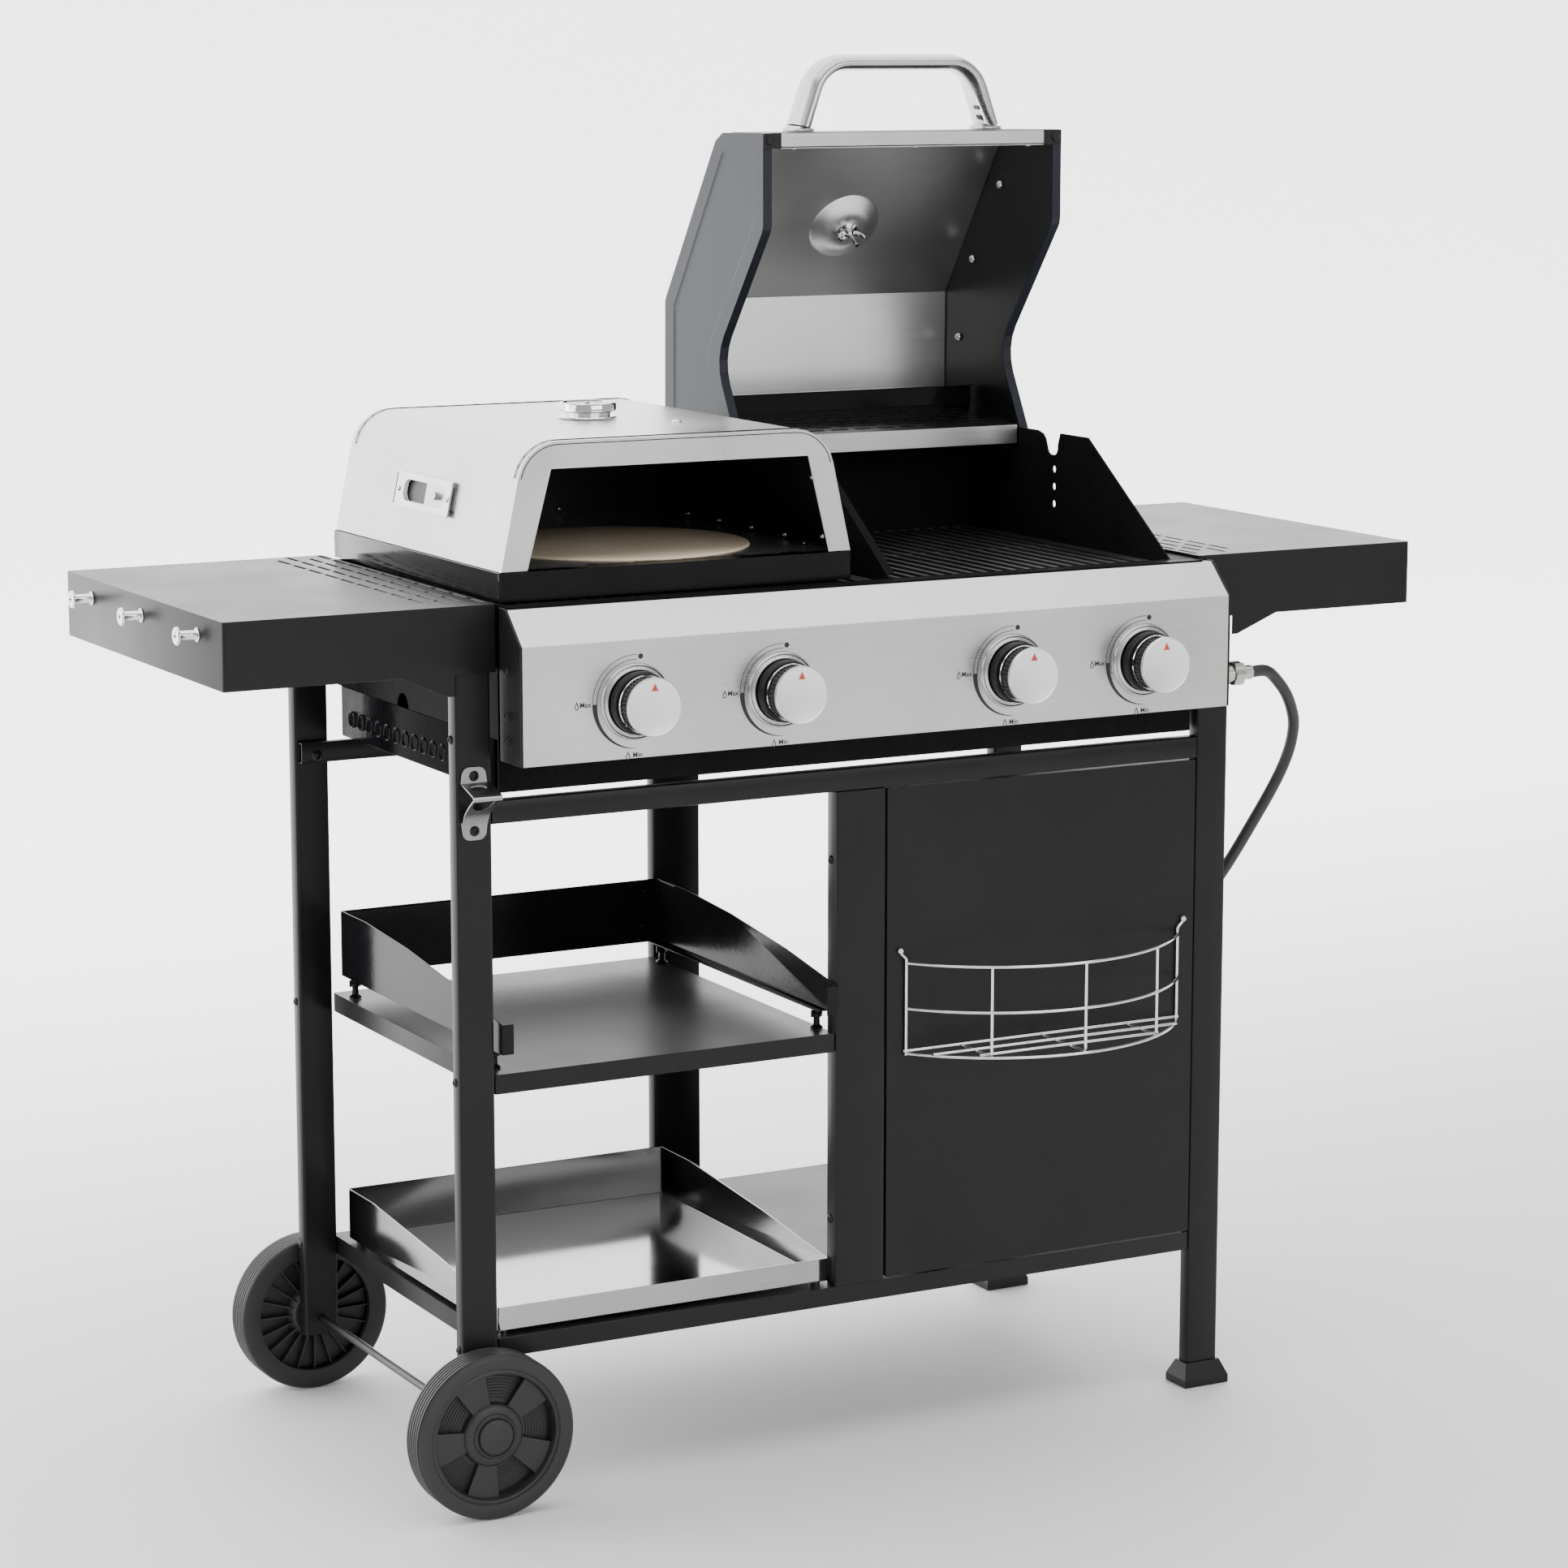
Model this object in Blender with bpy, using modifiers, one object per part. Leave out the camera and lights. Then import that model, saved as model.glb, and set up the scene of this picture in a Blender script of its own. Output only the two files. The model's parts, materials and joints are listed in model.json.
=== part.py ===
"""Four-burner gas barbecue on a wheeled cart: a grill chamber with its lid open, a table-top pizza oven
on the other half, two side tables, a cabinet with a wire basket, and the loose accessories on its shelves.

All lengths are metres. Cart coordinates: X runs right from the outer face of the left legs, Y runs back
from the front face of the front legs, and Z runs up from the floor. CENTRE moves them to the middle of
the finished object, so that it stands on the origin.
"""

import math

import bmesh
import bpy
from mathutils import Matrix, Vector

CENTRE = Vector((0.414, 0.18525, 0.0))
GAP = 0.0003          # between pieces that touch
SHEET = 0.0012        # folded sheet metal
PLATE = 0.0015        # firebox walls

# Cart frame
CART_LENGTH = 0.858
CART_DEPTH = 0.417
LEG_WIDTH = 0.037
LEG_DEPTH = 0.017
LEG_TOP = 0.866
LEG_CORNER = 0.003
RIGHT_LEG_X = CART_LENGTH - LEG_WIDTH
REAR_LEG_Y = CART_DEPTH - LEG_DEPTH
FOOT_HEIGHT = 0.024
WHEEL_RADIUS = 0.0806
WHEEL_WIDTH = 0.033
AXLE_RADIUS = 0.004
AXLE_X = 0.019
AXLE_CLEARANCE = 0.0003
LEFT_LEG_BOTTOM = 0.064
COLUMN_X = (0.403, 0.4588)
SHELF_TOP = 0.165
MID_SHELF_TOP = 0.423
RAIL_Z = (0.663, 0.685)

# Side tables
TABLE_TOP = 0.8705
TABLE_BOTTOM = 0.807
TABLE_Y = (-0.004, 0.4187)
LEFT_TABLE_X = (-0.227, 0.042)
RIGHT_TABLE_X = (0.817, 1.077)

# Grill body
BODY_X = (0.045, 0.813)
BODY_Y = (0.002, 0.398)
BODY_Z = (0.742, 0.868)
CHAMBER_X = (0.465, 0.786)
CHAMBER_TOP = 0.977
KNOB_X = (0.1615, 0.3155, 0.5705, 0.7225)
KNOB_Z = 0.777
GRATE_TOP = 0.864

# Lid, standing open on its hinge
HINGE_Y = 0.322
HINGE_Z = 0.954
HINGE_PIN = 0.004
LID_X = (0.4603, 0.7897)
LID_SIDE = 0.010

# Door
DOOR_X = (0.4605, 0.8198)
DOOR_Z = (0.167, 0.6615)
DOOR_HINGE = (0.8175, 0.0032)
DOOR_PIN = 0.0015

# Pizza oven
OVEN_X = (0.050, 0.424)
OVEN_Y = (0.010, 0.410)
OVEN_BASE_Z = (0.8695, 0.8965)
OVEN_FLOOR = 0.890

PARTS = "gas_barbecue"
CUTTERS = "gas_barbecue_cutters"

# name: (colour, roughness, metallic)
FINISHES = {
    "powder_coat": ((0.035, 0.036, 0.040), 0.50, 0.0),
    "grey_coat": ((0.085, 0.093, 0.110), 0.42, 0.0),
    "gloss_enamel": ((0.008, 0.008, 0.009), 0.14, 0.0),
    "cast_iron": ((0.018, 0.018, 0.019), 0.60, 0.2),
    "stainless": ((0.62, 0.62, 0.61), 0.28, 1.0),
    "chrome": ((0.78, 0.78, 0.79), 0.12, 1.0),
    "zinc": ((0.58, 0.60, 0.56), 0.38, 1.0),
    "black_plastic": ((0.014, 0.014, 0.015), 0.45, 0.0),
    "rubber": ((0.020, 0.020, 0.021), 0.75, 0.0),
    "stone": ((0.60, 0.47, 0.33), 0.85, 0.0),
}


# ---------------------------------------------------------------- scene and objects

def clear_scene():
    for obj in list(bpy.data.objects):
        bpy.data.objects.remove(obj)


def collection(name):
    found = bpy.data.collections.get(name)
    if found is None:
        found = bpy.data.collections.new(name)
        bpy.context.scene.collection.children.link(found)
    return found


def shape(name, data):
    """A new object whose data is in cart coordinates."""
    obj = bpy.data.objects.new(name, data)
    obj.location = -CENTRE
    collection(PARTS).objects.link(obj)
    return obj


def from_bmesh(name, bm):
    mesh = bpy.data.meshes.new(name)
    bm.to_mesh(mesh)
    bm.free()
    return shape(name, mesh)


def finished(obj, finish, origin=None, smooth=None):
    """Gives a piece its material, its origin in cart coordinates, and smooth shading under an angle."""
    colour, roughness, metallic = FINISHES[finish]
    material = bpy.data.materials.new(f"{obj.name}_{finish}")
    material.use_nodes = True
    shader = material.node_tree.nodes["Principled BSDF"]
    shader.inputs["Base Color"].default_value = (*colour, 1.0)
    shader.inputs["Roughness"].default_value = roughness
    shader.inputs["Metallic"].default_value = metallic
    obj.data.materials.clear()
    obj.data.materials.append(material)
    if origin is not None:
        obj.data.transform(Matrix.Translation(-Vector(origin)))
        obj.location = Vector(origin) - CENTRE
    if smooth is not None and obj.type == "MESH":
        obj.data.shade_smooth()
        obj.data.set_sharp_from_angle(angle=math.radians(smooth))
    return obj


def as_helper(obj):
    """Moves a shape to the cutters, where it is not part of the object."""
    obj.hide_render = True
    obj.display_type = "WIRE"
    collection(PARTS).objects.unlink(obj)
    collection(CUTTERS).objects.link(obj)


def boolean(obj, others, operation, solver="EXACT"):
    for other in others:
        as_helper(other)
        modifier = obj.modifiers.new(f"{operation.lower()}_{other.name}", "BOOLEAN")
        modifier.operation = operation
        modifier.object = other
        modifier.solver = solver
    return obj


def cut(obj, *others):
    return boolean(obj, others, "DIFFERENCE")


def join(obj, *others, solver="EXACT"):
    return boolean(obj, others, "UNION", solver)


def solidify(obj, thickness, offset=-1.0):
    modifier = obj.modifiers.new("thickness", "SOLIDIFY")
    modifier.thickness = thickness
    modifier.offset = offset
    modifier.use_even_offset = True
    return obj


# ---------------------------------------------------------------- outlines

def rounded(points, steps=4):
    """The outline with an arc at each point that gives a radius as its third value."""
    result = []
    for index, point in enumerate(points):
        if len(point) < 3:
            result.append(tuple(point))
            continue
        corner = Vector(point[:2])
        before = (Vector(points[index - 1][:2]) - corner).normalized()
        after = (Vector(points[(index + 1) % len(points)][:2]) - corner).normalized()
        half = before.angle(after) / 2
        centre = corner + (before + after).normalized() * point[2] / math.sin(half)
        start = corner + before * point[2] / math.tan(half) - centre
        end = corner + after * point[2] / math.tan(half) - centre
        turn = start.angle_signed(end)
        for step in range(steps + 1):
            spot = start.copy()
            spot.rotate(Matrix.Rotation(-turn * step / steps, 2))
            result.append(tuple(centre + spot))
    return result


def rectangle(a0, a1, b0, b1, radius=0.0, steps=2):
    corners = [(a0, b0), (a1, b0), (a1, b1), (a0, b1)]
    if not radius:
        return corners
    return rounded([(a, b, radius) for a, b in corners], steps)


def circle(a, b, radius, sides=16):
    turns = [2 * math.pi * side / sides for side in range(sides)]
    return [(a + radius * math.cos(turn), b + radius * math.sin(turn)) for turn in turns]


def arc(a, b, radius, start, end, steps):
    """Points along an arc; the angles are degrees from the first axis."""
    turns = [math.radians(start + (end - start) * step / steps) for step in range(steps + 1)]
    return [(a + radius * math.cos(turn), b + radius * math.sin(turn)) for turn in turns]


# ---------------------------------------------------------------- shapes from outlines

def spot(axis, a, b, along):
    """Cart point of an outline point: outlines are (y, z) across X, (x, z) across Y and (x, y) across Z."""
    return {"X": Vector((along, a, b)), "Y": Vector((a, along, b)), "Z": Vector((a, b, along))}[axis]


def new_verts(bm, outline, axis, along):
    return [bm.verts.new(spot(axis, a, b, along)) for a, b in outline]


def grow(bm, grown, axis, distance):
    verts = [item for item in grown["geom"] if isinstance(item, bmesh.types.BMVert)]
    bmesh.ops.translate(bm, verts=verts, vec=spot(axis, 0, 0, distance))


def prism(name, outline, axis, start, end):
    """A solid with this outline between two places on the axis."""
    bm = bmesh.new()
    face = bm.faces.new(new_verts(bm, outline, axis, start))
    grow(bm, bmesh.ops.extrude_face_region(bm, geom=[face]), axis, end - start)
    bmesh.ops.recalc_face_normals(bm, faces=bm.faces)
    return from_bmesh(name, bm)


def box(name, low, high):
    return prism(name, rectangle(low[0], high[0], low[1], high[1]), "Z", low[2], high[2])


def rod(name, axis, a, b, radius, start, end, sides=16):
    return prism(name, circle(a, b, radius, sides), axis, start, end)


def section(name, outline, axis, start, end, wall):
    """A tube with open ends, its wall inside the outline."""
    bm = bmesh.new()
    ring = new_verts(bm, outline, axis, start)
    edges = [bm.edges.new(pair) for pair in zip(ring, ring[1:] + ring[:1])]
    grow(bm, bmesh.ops.extrude_edge_only(bm, edges=edges), axis, end - start)
    bmesh.ops.recalc_face_normals(bm, faces=bm.faces)
    return solidify(from_bmesh(name, bm), wall)


def pan(name, outline, axis, face, rim, wall=SHEET):
    """A face with a wall all round it that ends at rim, its thickness inside the outline."""
    bm = bmesh.new()
    ring = new_verts(bm, outline, axis, face)
    edges = list(bm.faces.new(ring).edges)
    grow(bm, bmesh.ops.extrude_edge_only(bm, edges=edges), axis, rim - face)
    bmesh.ops.recalc_face_normals(bm, faces=bm.faces)
    return solidify(from_bmesh(name, bm), wall)


def folded(name, profile, axis, start, end, wall=SHEET, left=True):
    """Sheet folded along an open profile, its thickness on the left or right of the way it runs."""
    bm = bmesh.new()
    line = new_verts(bm, profile, axis, start)
    edges = [bm.edges.new(pair) for pair in zip(line, line[1:])]
    grow(bm, bmesh.ops.extrude_edge_only(bm, edges=edges), axis, end - start)
    bmesh.ops.recalc_face_normals(bm, faces=bm.faces)
    bm.normal_update()
    run_a, run_b = (profile[1][0] - profile[0][0], profile[1][1] - profile[0][1])
    first = bm.edges.get((line[0], line[1])).link_faces[0]
    on_left = first.normal.dot(spot(axis, -run_b, run_a, 0)) > 0
    return solidify(from_bmesh(name, bm), wall, 1.0 if on_left == left else -1.0)


def turned(name, profile, origin, direction, steps=24):
    """A solid of revolution: the profile's (radius, height) points run down its outer side."""
    bm = bmesh.new()
    line = [bm.verts.new((radius, 0, height)) for radius, height in profile]
    for pair in zip(line, line[1:]):
        bm.edges.new(pair)
    obj = from_bmesh(name, bm)
    obj.location = Vector(origin) - CENTRE
    obj.rotation_mode = "QUATERNION"
    obj.rotation_quaternion = Vector(direction).to_track_quat("Z", "Y")
    screw = obj.modifiers.new("turn", "SCREW")
    screw.steps = steps
    screw.render_steps = steps
    screw.use_merge_vertices = True
    screw.merge_threshold = 0.00001
    screw.use_smooth_shade = False
    return obj


def wire(name, points, radius, resolution=1, cyclic=False):
    """A round bar along the points."""
    curve = bpy.data.curves.new(name, "CURVE")
    curve.dimensions = "3D"
    curve.bevel_depth = radius
    curve.bevel_resolution = resolution
    curve.use_fill_caps = True
    line = curve.splines.new("POLY")
    line.points.add(len(points) - 1)
    for point, place in zip(line.points, points):
        point.co = (*place, 1.0)
    line.use_cyclic_u = cyclic
    return shape(name, curve)


def as_mesh(obj):
    """The curve as a mesh object with its caps welded on."""
    name = obj.name
    bpy.context.view_layer.update()
    graph = bpy.context.evaluated_depsgraph_get()
    mesh = bpy.data.meshes.new_from_object(obj.evaluated_get(graph))
    bm = bmesh.new()
    bm.from_mesh(mesh)
    bmesh.ops.remove_doubles(bm, verts=bm.verts, dist=0.00001)
    bmesh.ops.recalc_face_normals(bm, faces=bm.faces)
    bm.to_mesh(mesh)
    bm.free()
    place = obj.matrix_world.copy()
    bpy.data.objects.remove(obj)
    made = shape(name, mesh)
    made.matrix_world = place
    return made


def smooth_route(points, spacing):
    """Points at an even spacing on a Catmull-Rom curve through the route's points."""
    route = [Vector(point) for point in points]
    route = [2 * route[0] - route[1]] + route + [2 * route[-1] - route[-2]]
    fine = []
    for a, b, c, d in zip(route, route[1:], route[2:], route[3:]):
        for step in range(20):
            t = step / 20
            fine.append(0.5 * (2 * b + (c - a) * t + (2 * a - 5 * b + 4 * c - d) * t * t
                               + (3 * b - a - 3 * c + d) * t ** 3))
    fine.append(route[-2])
    even = [fine[0]]
    for point in fine:
        if (point - even[-1]).length >= spacing:
            even.append(point)
    if (fine[-1] - even[-1]).length < spacing / 2:
        even.pop()
    return even + [fine[-1]]


# ---------------------------------------------------------------- cart frame

def make_legs():
    for side, x, bottom in (("left", 0.0, LEFT_LEG_BOTTOM), ("right", RIGHT_LEG_X, FOOT_HEIGHT + GAP)):
        for end, y in (("front", 0.0), ("rear", REAR_LEG_Y)):
            name = f"leg_{end}_{side}"
            outline = rectangle(x, x + LEG_WIDTH, y, y + LEG_DEPTH, LEG_CORNER)
            leg = section(name, outline, "Z", bottom, LEG_TOP, PLATE)
            if side == "left":
                hole = rod(f"{name}_axle_hole", "Y", AXLE_X, WHEEL_RADIUS, AXLE_RADIUS + AXLE_CLEARANCE,
                           y - 0.01, y + LEG_DEPTH + 0.01, 16)
                cut(leg, hole)
            finished(leg, "powder_coat", smooth=35)


def make_feet():
    margin_x, margin_y = 0.008, 0.0105
    base, collar = 0.008, 0.002
    for end, y in (("front", 0.0), ("rear", REAR_LEG_Y)):
        low = Vector((RIGHT_LEG_X - margin_x, y - margin_y))
        high = Vector((CART_LENGTH + margin_x, y + LEG_DEPTH + margin_y))
        bm = bmesh.new()
        ring = new_verts(bm, rectangle(low.x, high.x, low.y, high.y), "Z", 0.0)
        face = bm.faces.new(ring)
        up = bmesh.ops.extrude_face_region(bm, geom=[face])
        grow(bm, up, "Z", base)
        top = [item for item in up["geom"] if isinstance(item, bmesh.types.BMFace)]
        up = bmesh.ops.extrude_face_region(bm, geom=top)
        bmesh.ops.delete(bm, geom=top, context="FACES_ONLY")
        grow(bm, up, "Z", FOOT_HEIGHT - base)
        verts = [item for item in up["geom"] if isinstance(item, bmesh.types.BMVert)]
        middle = (low + high) / 2
        shrink = Vector((
            (LEG_WIDTH + 2 * collar) / (high.x - low.x),
            (LEG_DEPTH + 2 * collar) / (high.y - low.y),
            1.0,
        ))
        bmesh.ops.scale(bm, vec=shrink, verts=verts,
                        space=Matrix.Translation((-middle.x, -middle.y, 0)))
        bmesh.ops.recalc_face_normals(bm, faces=bm.faces)
        finished(from_bmesh(f"foot_{end}_right", bm), "black_plastic")


def make_columns_and_rails():
    top = RAIL_Z[0] - GAP
    for end, y0, y1 in (("front", 0.0, 0.020), ("rear", 0.401, 0.417)):
        outline = rectangle(*COLUMN_X, y0, y1, LEG_CORNER)
        column = section(f"column_{end}", outline, "Z", SHELF_TOP + GAP, top, PLATE)
        finished(column, "powder_coat", smooth=35)
    outline = rectangle(0.0005, 0.016, *RAIL_Z, 0.002)
    rail = section("rail_front", outline, "X", LEG_WIDTH + GAP, RIGHT_LEG_X - GAP, PLATE)
    pin_hole = rod("rail_pin_hole", "Z", *DOOR_HINGE, DOOR_PIN + GAP,
                   RAIL_Z[0] - 0.002, RAIL_Z[0] + 0.004, 16)
    finished(cut(rail, pin_hole), "powder_coat", smooth=35)
    outline = rectangle(0.3897, 0.3997, 0.664, 0.685, 0.002)
    finished(section("rail_rear", outline, "X", 0.004, 0.854, PLATE), "powder_coat", smooth=35)


def make_shelves():
    corner = 0.002
    mid = pan("mid_shelf", rectangle(0.0375, 0.4025, 0.001, 0.4007, corner), "Z", MID_SHELF_TOP, 0.404)
    finished(mid, "powder_coat")
    outline = rectangle(0.0375, 0.8205, 0.001, 0.416, corner)
    bottom = pan("bottom_shelf", outline, "Z", SHELF_TOP, 0.1465)
    pin_hole = rod("shelf_pin_hole", "Z", *DOOR_HINGE, DOOR_PIN + GAP,
                   SHELF_TOP - 0.003, SHELF_TOP + 0.002, 16)
    finished(cut(bottom, pin_hole), "powder_coat")


def make_wheels():
    axle_ends = (-0.031, 0.448)
    axle = rod("axle", "Y", AXLE_X, WHEEL_RADIUS, AXLE_RADIUS, *axle_ends, 20)
    finished(axle, "zinc", smooth=35)
    tread, shoulder, sidewall = WHEEL_RADIUS, 0.0765, 0.0665
    bore = AXLE_RADIUS + AXLE_CLEARANCE
    profile = [
        (0.0, 0.0315), (0.017, 0.0315), (0.019, 0.0300), (0.021, 0.0270), (0.030, 0.0255), (0.032, 0.0200),
        (0.061, 0.0200), (0.063, 0.0305), (sidewall, 0.0312), (0.068, WHEEL_WIDTH), (shoulder, WHEEL_WIDTH),
        (tread, 0.0290), (tread, 0.0040), (shoulder, 0.0), (sidewall, 0.0), (0.061, 0.0040), (0.060, 0.0120),
        (0.028, 0.0120), (0.022, 0.0010), (bore, 0.0010), (bore, 0.0295), (0.0, 0.0295),
    ]
    for end, y, outward in (("front", -0.002, -1), ("rear", 0.419, 1)):
        wheel = turned(f"wheel_{end}", profile, (AXLE_X, y, WHEEL_RADIUS), (0, outward, 0), 28)
        finished(wheel, "rubber")


# ---------------------------------------------------------------- side tables

def make_table(side, x_range, inner, leg_faces):
    """A folded tray with its open side down, and a tapered gusset plate under its inner end on each side."""
    outline = rectangle(*x_range, *TABLE_Y, 0.003)
    table = pan(f"side_table_{side}", outline, "Z", TABLE_TOP, TABLE_BOTTOM)
    tip, near, low = inner
    for end, y in (("front", TABLE_Y[0]), ("rear", TABLE_Y[1] - SHEET)):
        outline = [(tip, TABLE_BOTTOM), (near, low), (leg_faces, low), (leg_faces, TABLE_BOTTOM + 0.01),
                   (tip, TABLE_BOTTOM + 0.01)]
        join(table, prism(f"gusset_{side}_{end}", outline, "Y", y, y + SHEET))
    finished(table, "powder_coat", smooth=35)


def make_tables():
    make_table("left", LEFT_TABLE_X, (-0.054, -0.007, 0.787), -0.0005)
    make_table("right", RIGHT_TABLE_X, (0.912, 0.865, 0.788), 0.8585)
    profile = [(0.0, 0.0217), (0.0080, 0.0217), (0.0085, 0.0207), (0.0085, 0.0190), (0.0045, 0.0190),
               (0.0045, 0.0022), (0.0065, 0.0012), (0.0065, 0.0), (0.0, 0.0)]
    wall = LEFT_TABLE_X[0] - GAP
    for number, y in enumerate((0.345, 0.206, 0.058), start=1):
        hook = turned(f"tool_hook_{number}", profile, (wall, y, 0.852), (-1, 0, 0), 16)
        finished(hook, "chrome")


def make_bottle_opener():
    x0, x1 = 0.0053, 0.0328
    z0, z1 = 0.6528, 0.7229
    back, face = -GAP, -0.0028
    corner = 0.009
    outline = rectangle(x0, x1, z0, z1, corner)
    opener = prism("bottle_opener", outline, "Y", face, back)
    for number, z in enumerate((0.7148, 0.6633)):
        cut(opener, rod(f"opener_hole_{number}", "Y", 0.0195, z, 0.0024, face - 0.005, back + 0.001, 16))
    hood = [(back - 0.001, 0.709), (-0.025, 0.7005), (-0.025, 0.6975), (back - 0.001, 0.7045)]
    lip = [(back - 0.001, 0.694), (-0.013, 0.676), (-0.011, 0.6745), (back - 0.001, 0.688)]
    hood = prism("opener_hood", hood, "X", x0 + 0.0005, 0.0386)
    lip = prism("opener_lip", lip, "X", 0.012, 0.034)
    finished(join(opener, hood, lip), "stainless")


# ---------------------------------------------------------------- grill body

def chamber_wall(name, x0, x1):
    """An upright wall of the chamber, sloping up from the front to its flat top."""
    outline = [(0.003, 0.760), (0.003, BODY_Z[1]), (0.006, BODY_Z[1] + 0.001), (0.160, CHAMBER_TOP),
               (0.397, CHAMBER_TOP), (0.397, 0.760)]
    wall = prism(name, outline, "X", x0, x1)
    hole = rod(f"{name}_hinge_hole", "X", HINGE_Y, HINGE_Z, HINGE_PIN + 0.0005, x0 - 0.01, x1 + 0.01, 20)
    return cut(wall, hole)


def make_firebox():
    ledge_z = (BODY_Z[1] - 0.0017, BODY_Z[1] - 0.0002)
    body = section("firebox", rectangle(*BODY_X, *BODY_Y), "Z", *BODY_Z, PLATE)
    front = box("firebox_front", (BODY_X[0], BODY_Y[0], 0.692), (BODY_X[1], BODY_Y[0] + PLATE, 0.750))
    front_ledge = box("firebox_front_ledge", (0.047, -0.0165, ledge_z[0]), (BODY_X[1], 0.003, ledge_z[1]))
    side_ledge = box("firebox_side_ledge", (0.787, 0.003, ledge_z[0]), (BODY_X[1], 0.397, ledge_z[1]))
    partition = chamber_wall("firebox_partition", CHAMBER_X[0] - 0.002, CHAMBER_X[0])
    flange = folded("firebox_flange", [(0.010, 0.8718), (0.160, CHAMBER_TOP), (0.297, CHAMBER_TOP)], "X",
                    CHAMBER_X[0] - 0.001, CHAMBER_X[0] + 0.007, PLATE, left=False)
    right = chamber_wall("firebox_right_wall", CHAMBER_X[1], CHAMBER_X[1] + 0.002)
    notch = [(0.2105, 0.985), (0.2175, 0.9655), (0.2185, 0.9535, 0.0075), (0.2365, 0.9535, 0.0075),
             (0.2430, 0.9690, 0.0030), (0.2480, 0.9740, 0.0030), (0.2640, 0.9785), (0.2640, 0.985)]
    cut(right, prism("wall_notch", rounded(notch), "X", CHAMBER_X[1] - 0.01, CHAMBER_X[1] + 0.01))
    for number, z in enumerate((0.9388, 0.9206, 0.9024)):
        hole = rod(f"wall_hole_{number}", "X", 0.225, z, 0.004, CHAMBER_X[1] - 0.01, CHAMBER_X[1] + 0.01, 16)
        cut(right, hole)
    back = box("firebox_back", (CHAMBER_X[0] - 0.001, 0.3965, 0.860),
               (CHAMBER_X[1] + 0.001, 0.398, CHAMBER_TOP))
    join(body, front, front_ledge, side_ledge, partition, right, back, flange)
    for number, x in enumerate(KNOB_X):
        cut(body, rod(f"burner_hole_{number}", "Y", x, KNOB_Z, 0.015, -0.01, 0.010, 24))
    cut(body, rod("drain_notch", "X", 0.226, BODY_Z[0], 0.014, 0.04, 0.05, 24))
    finished(body, "gloss_enamel")


def make_rear_shelf():
    x_range = (CHAMBER_X[0] + 0.0005, CHAMBER_X[1] - 0.0005)
    profile = [(0.299, 0.968), (0.299, 0.979), (0.396, 0.995), (0.396, 1.014), (0.389, 1.014)]
    shelf = folded("rear_shelf", profile, "X", *x_range, left=False)
    finished(shelf, "gloss_enamel")


def make_control_panel():
    top, shoulder = 0.866, 0.835
    low, front, rear = 0.7235, -0.050, -0.0043
    profile = [(rear, top), (-0.018, top), (front, shoulder), (front, low), (rear, low)]
    panel = folded("control_panel", profile, "X", 0.0465, 0.8225)
    for number, x in enumerate(KNOB_X):
        cut(panel, rod(f"panel_hole_{number}", "Y", x, KNOB_Z, 0.006, front - 0.005, front + 0.005, 16))
    finished(panel, "stainless")
    outline = [(rear, top + 0.001), (-0.018, top + 0.001), (front, shoulder), (front, low), (rear, low)]
    finished(prism("panel_end_left", outline, "X", 0.044, 0.0462), "powder_coat")
    right = prism("panel_end_right", outline, "X", 0.8228, 0.825)
    cut(right, rod("inlet_hole", "X", -0.022, 0.751, 0.011, 0.81, 0.84, 20))
    finished(right, "powder_coat")


def make_gas_train():
    """The manifold with its four valves, the burner tubes, the valve stems and the knobs."""
    pipe_y, pipe_z = -0.022, 0.751
    manifold = rod("manifold", "X", pipe_y, pipe_z, 0.009, 0.120, 0.858, 20)
    nut = prism("inlet_nut", circle(pipe_y, pipe_z, 0.0125, 6), "X", 0.846, 0.857)
    ferrule = rod("inlet_ferrule", "X", pipe_y, pipe_z, 0.0072, 0.850, 0.869, 20)
    join(manifold, nut, ferrule)
    for number, x in enumerate(KNOB_X, start=1):
        neck = rod(f"valve_neck_{number}", "Z", x, pipe_y, 0.007, pipe_z, KNOB_Z - 0.008, 16)
        valve = rod(f"valve_body_{number}", "Y", x, KNOB_Z, 0.011, -0.034, -0.0105, 16)
        join(manifold, neck, valve)
        cut(manifold, rod(f"valve_bore_{number}", "Y", x, KNOB_Z, 0.0036, -0.040, -0.022, 16))
    finished(manifold, "zinc", smooth=35)
    knob_profile = [
        (0.0, 0.0340), (0.0264, 0.0340), (0.0276, 0.0330), (0.0276, 0.0290), (0.0250, 0.0280),
        (0.0250, 0.0100), (0.0290, 0.0090), (0.0290, 0.0), (0.0033, 0.0), (0.0033, 0.0100), (0.0, 0.0100),
    ]
    for number, x in enumerate(KNOB_X, start=1):
        outline = circle(x, KNOB_Z, 0.0125, 20)
        burner = pan(f"burner_{number}", outline, "Y", 0.370, -0.006, PLATE)
        finished(burner, "stainless", smooth=35)
        stem = rod(f"valve_stem_{number}", "Y", x, KNOB_Z, 0.003, -0.0665, -0.030, 16)
        finished(stem, "zinc", origin=(x, -0.030, KNOB_Z), smooth=35)
        knob = turned(f"knob_{number}", knob_profile, (x, -0.0575, KNOB_Z), (0, -1, 0), 24)
        finished(knob, "stainless")


def make_flame_tamers():
    low, high, half = 0.796, 0.820, 0.052
    for side, x0, x1, pair in (("left", 0.050, 0.460, KNOB_X[:2]), ("right", 0.468, 0.783, KNOB_X[2:])):
        profile = [(x0, low)]
        for x in pair:
            profile += [(x - half, low), (x, high), (x + half, low)]
        profile.append((x1, low))
        finished(folded(f"flame_tamer_{side}", profile, "Y", 0.020, 0.380, PLATE), "stainless")


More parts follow.
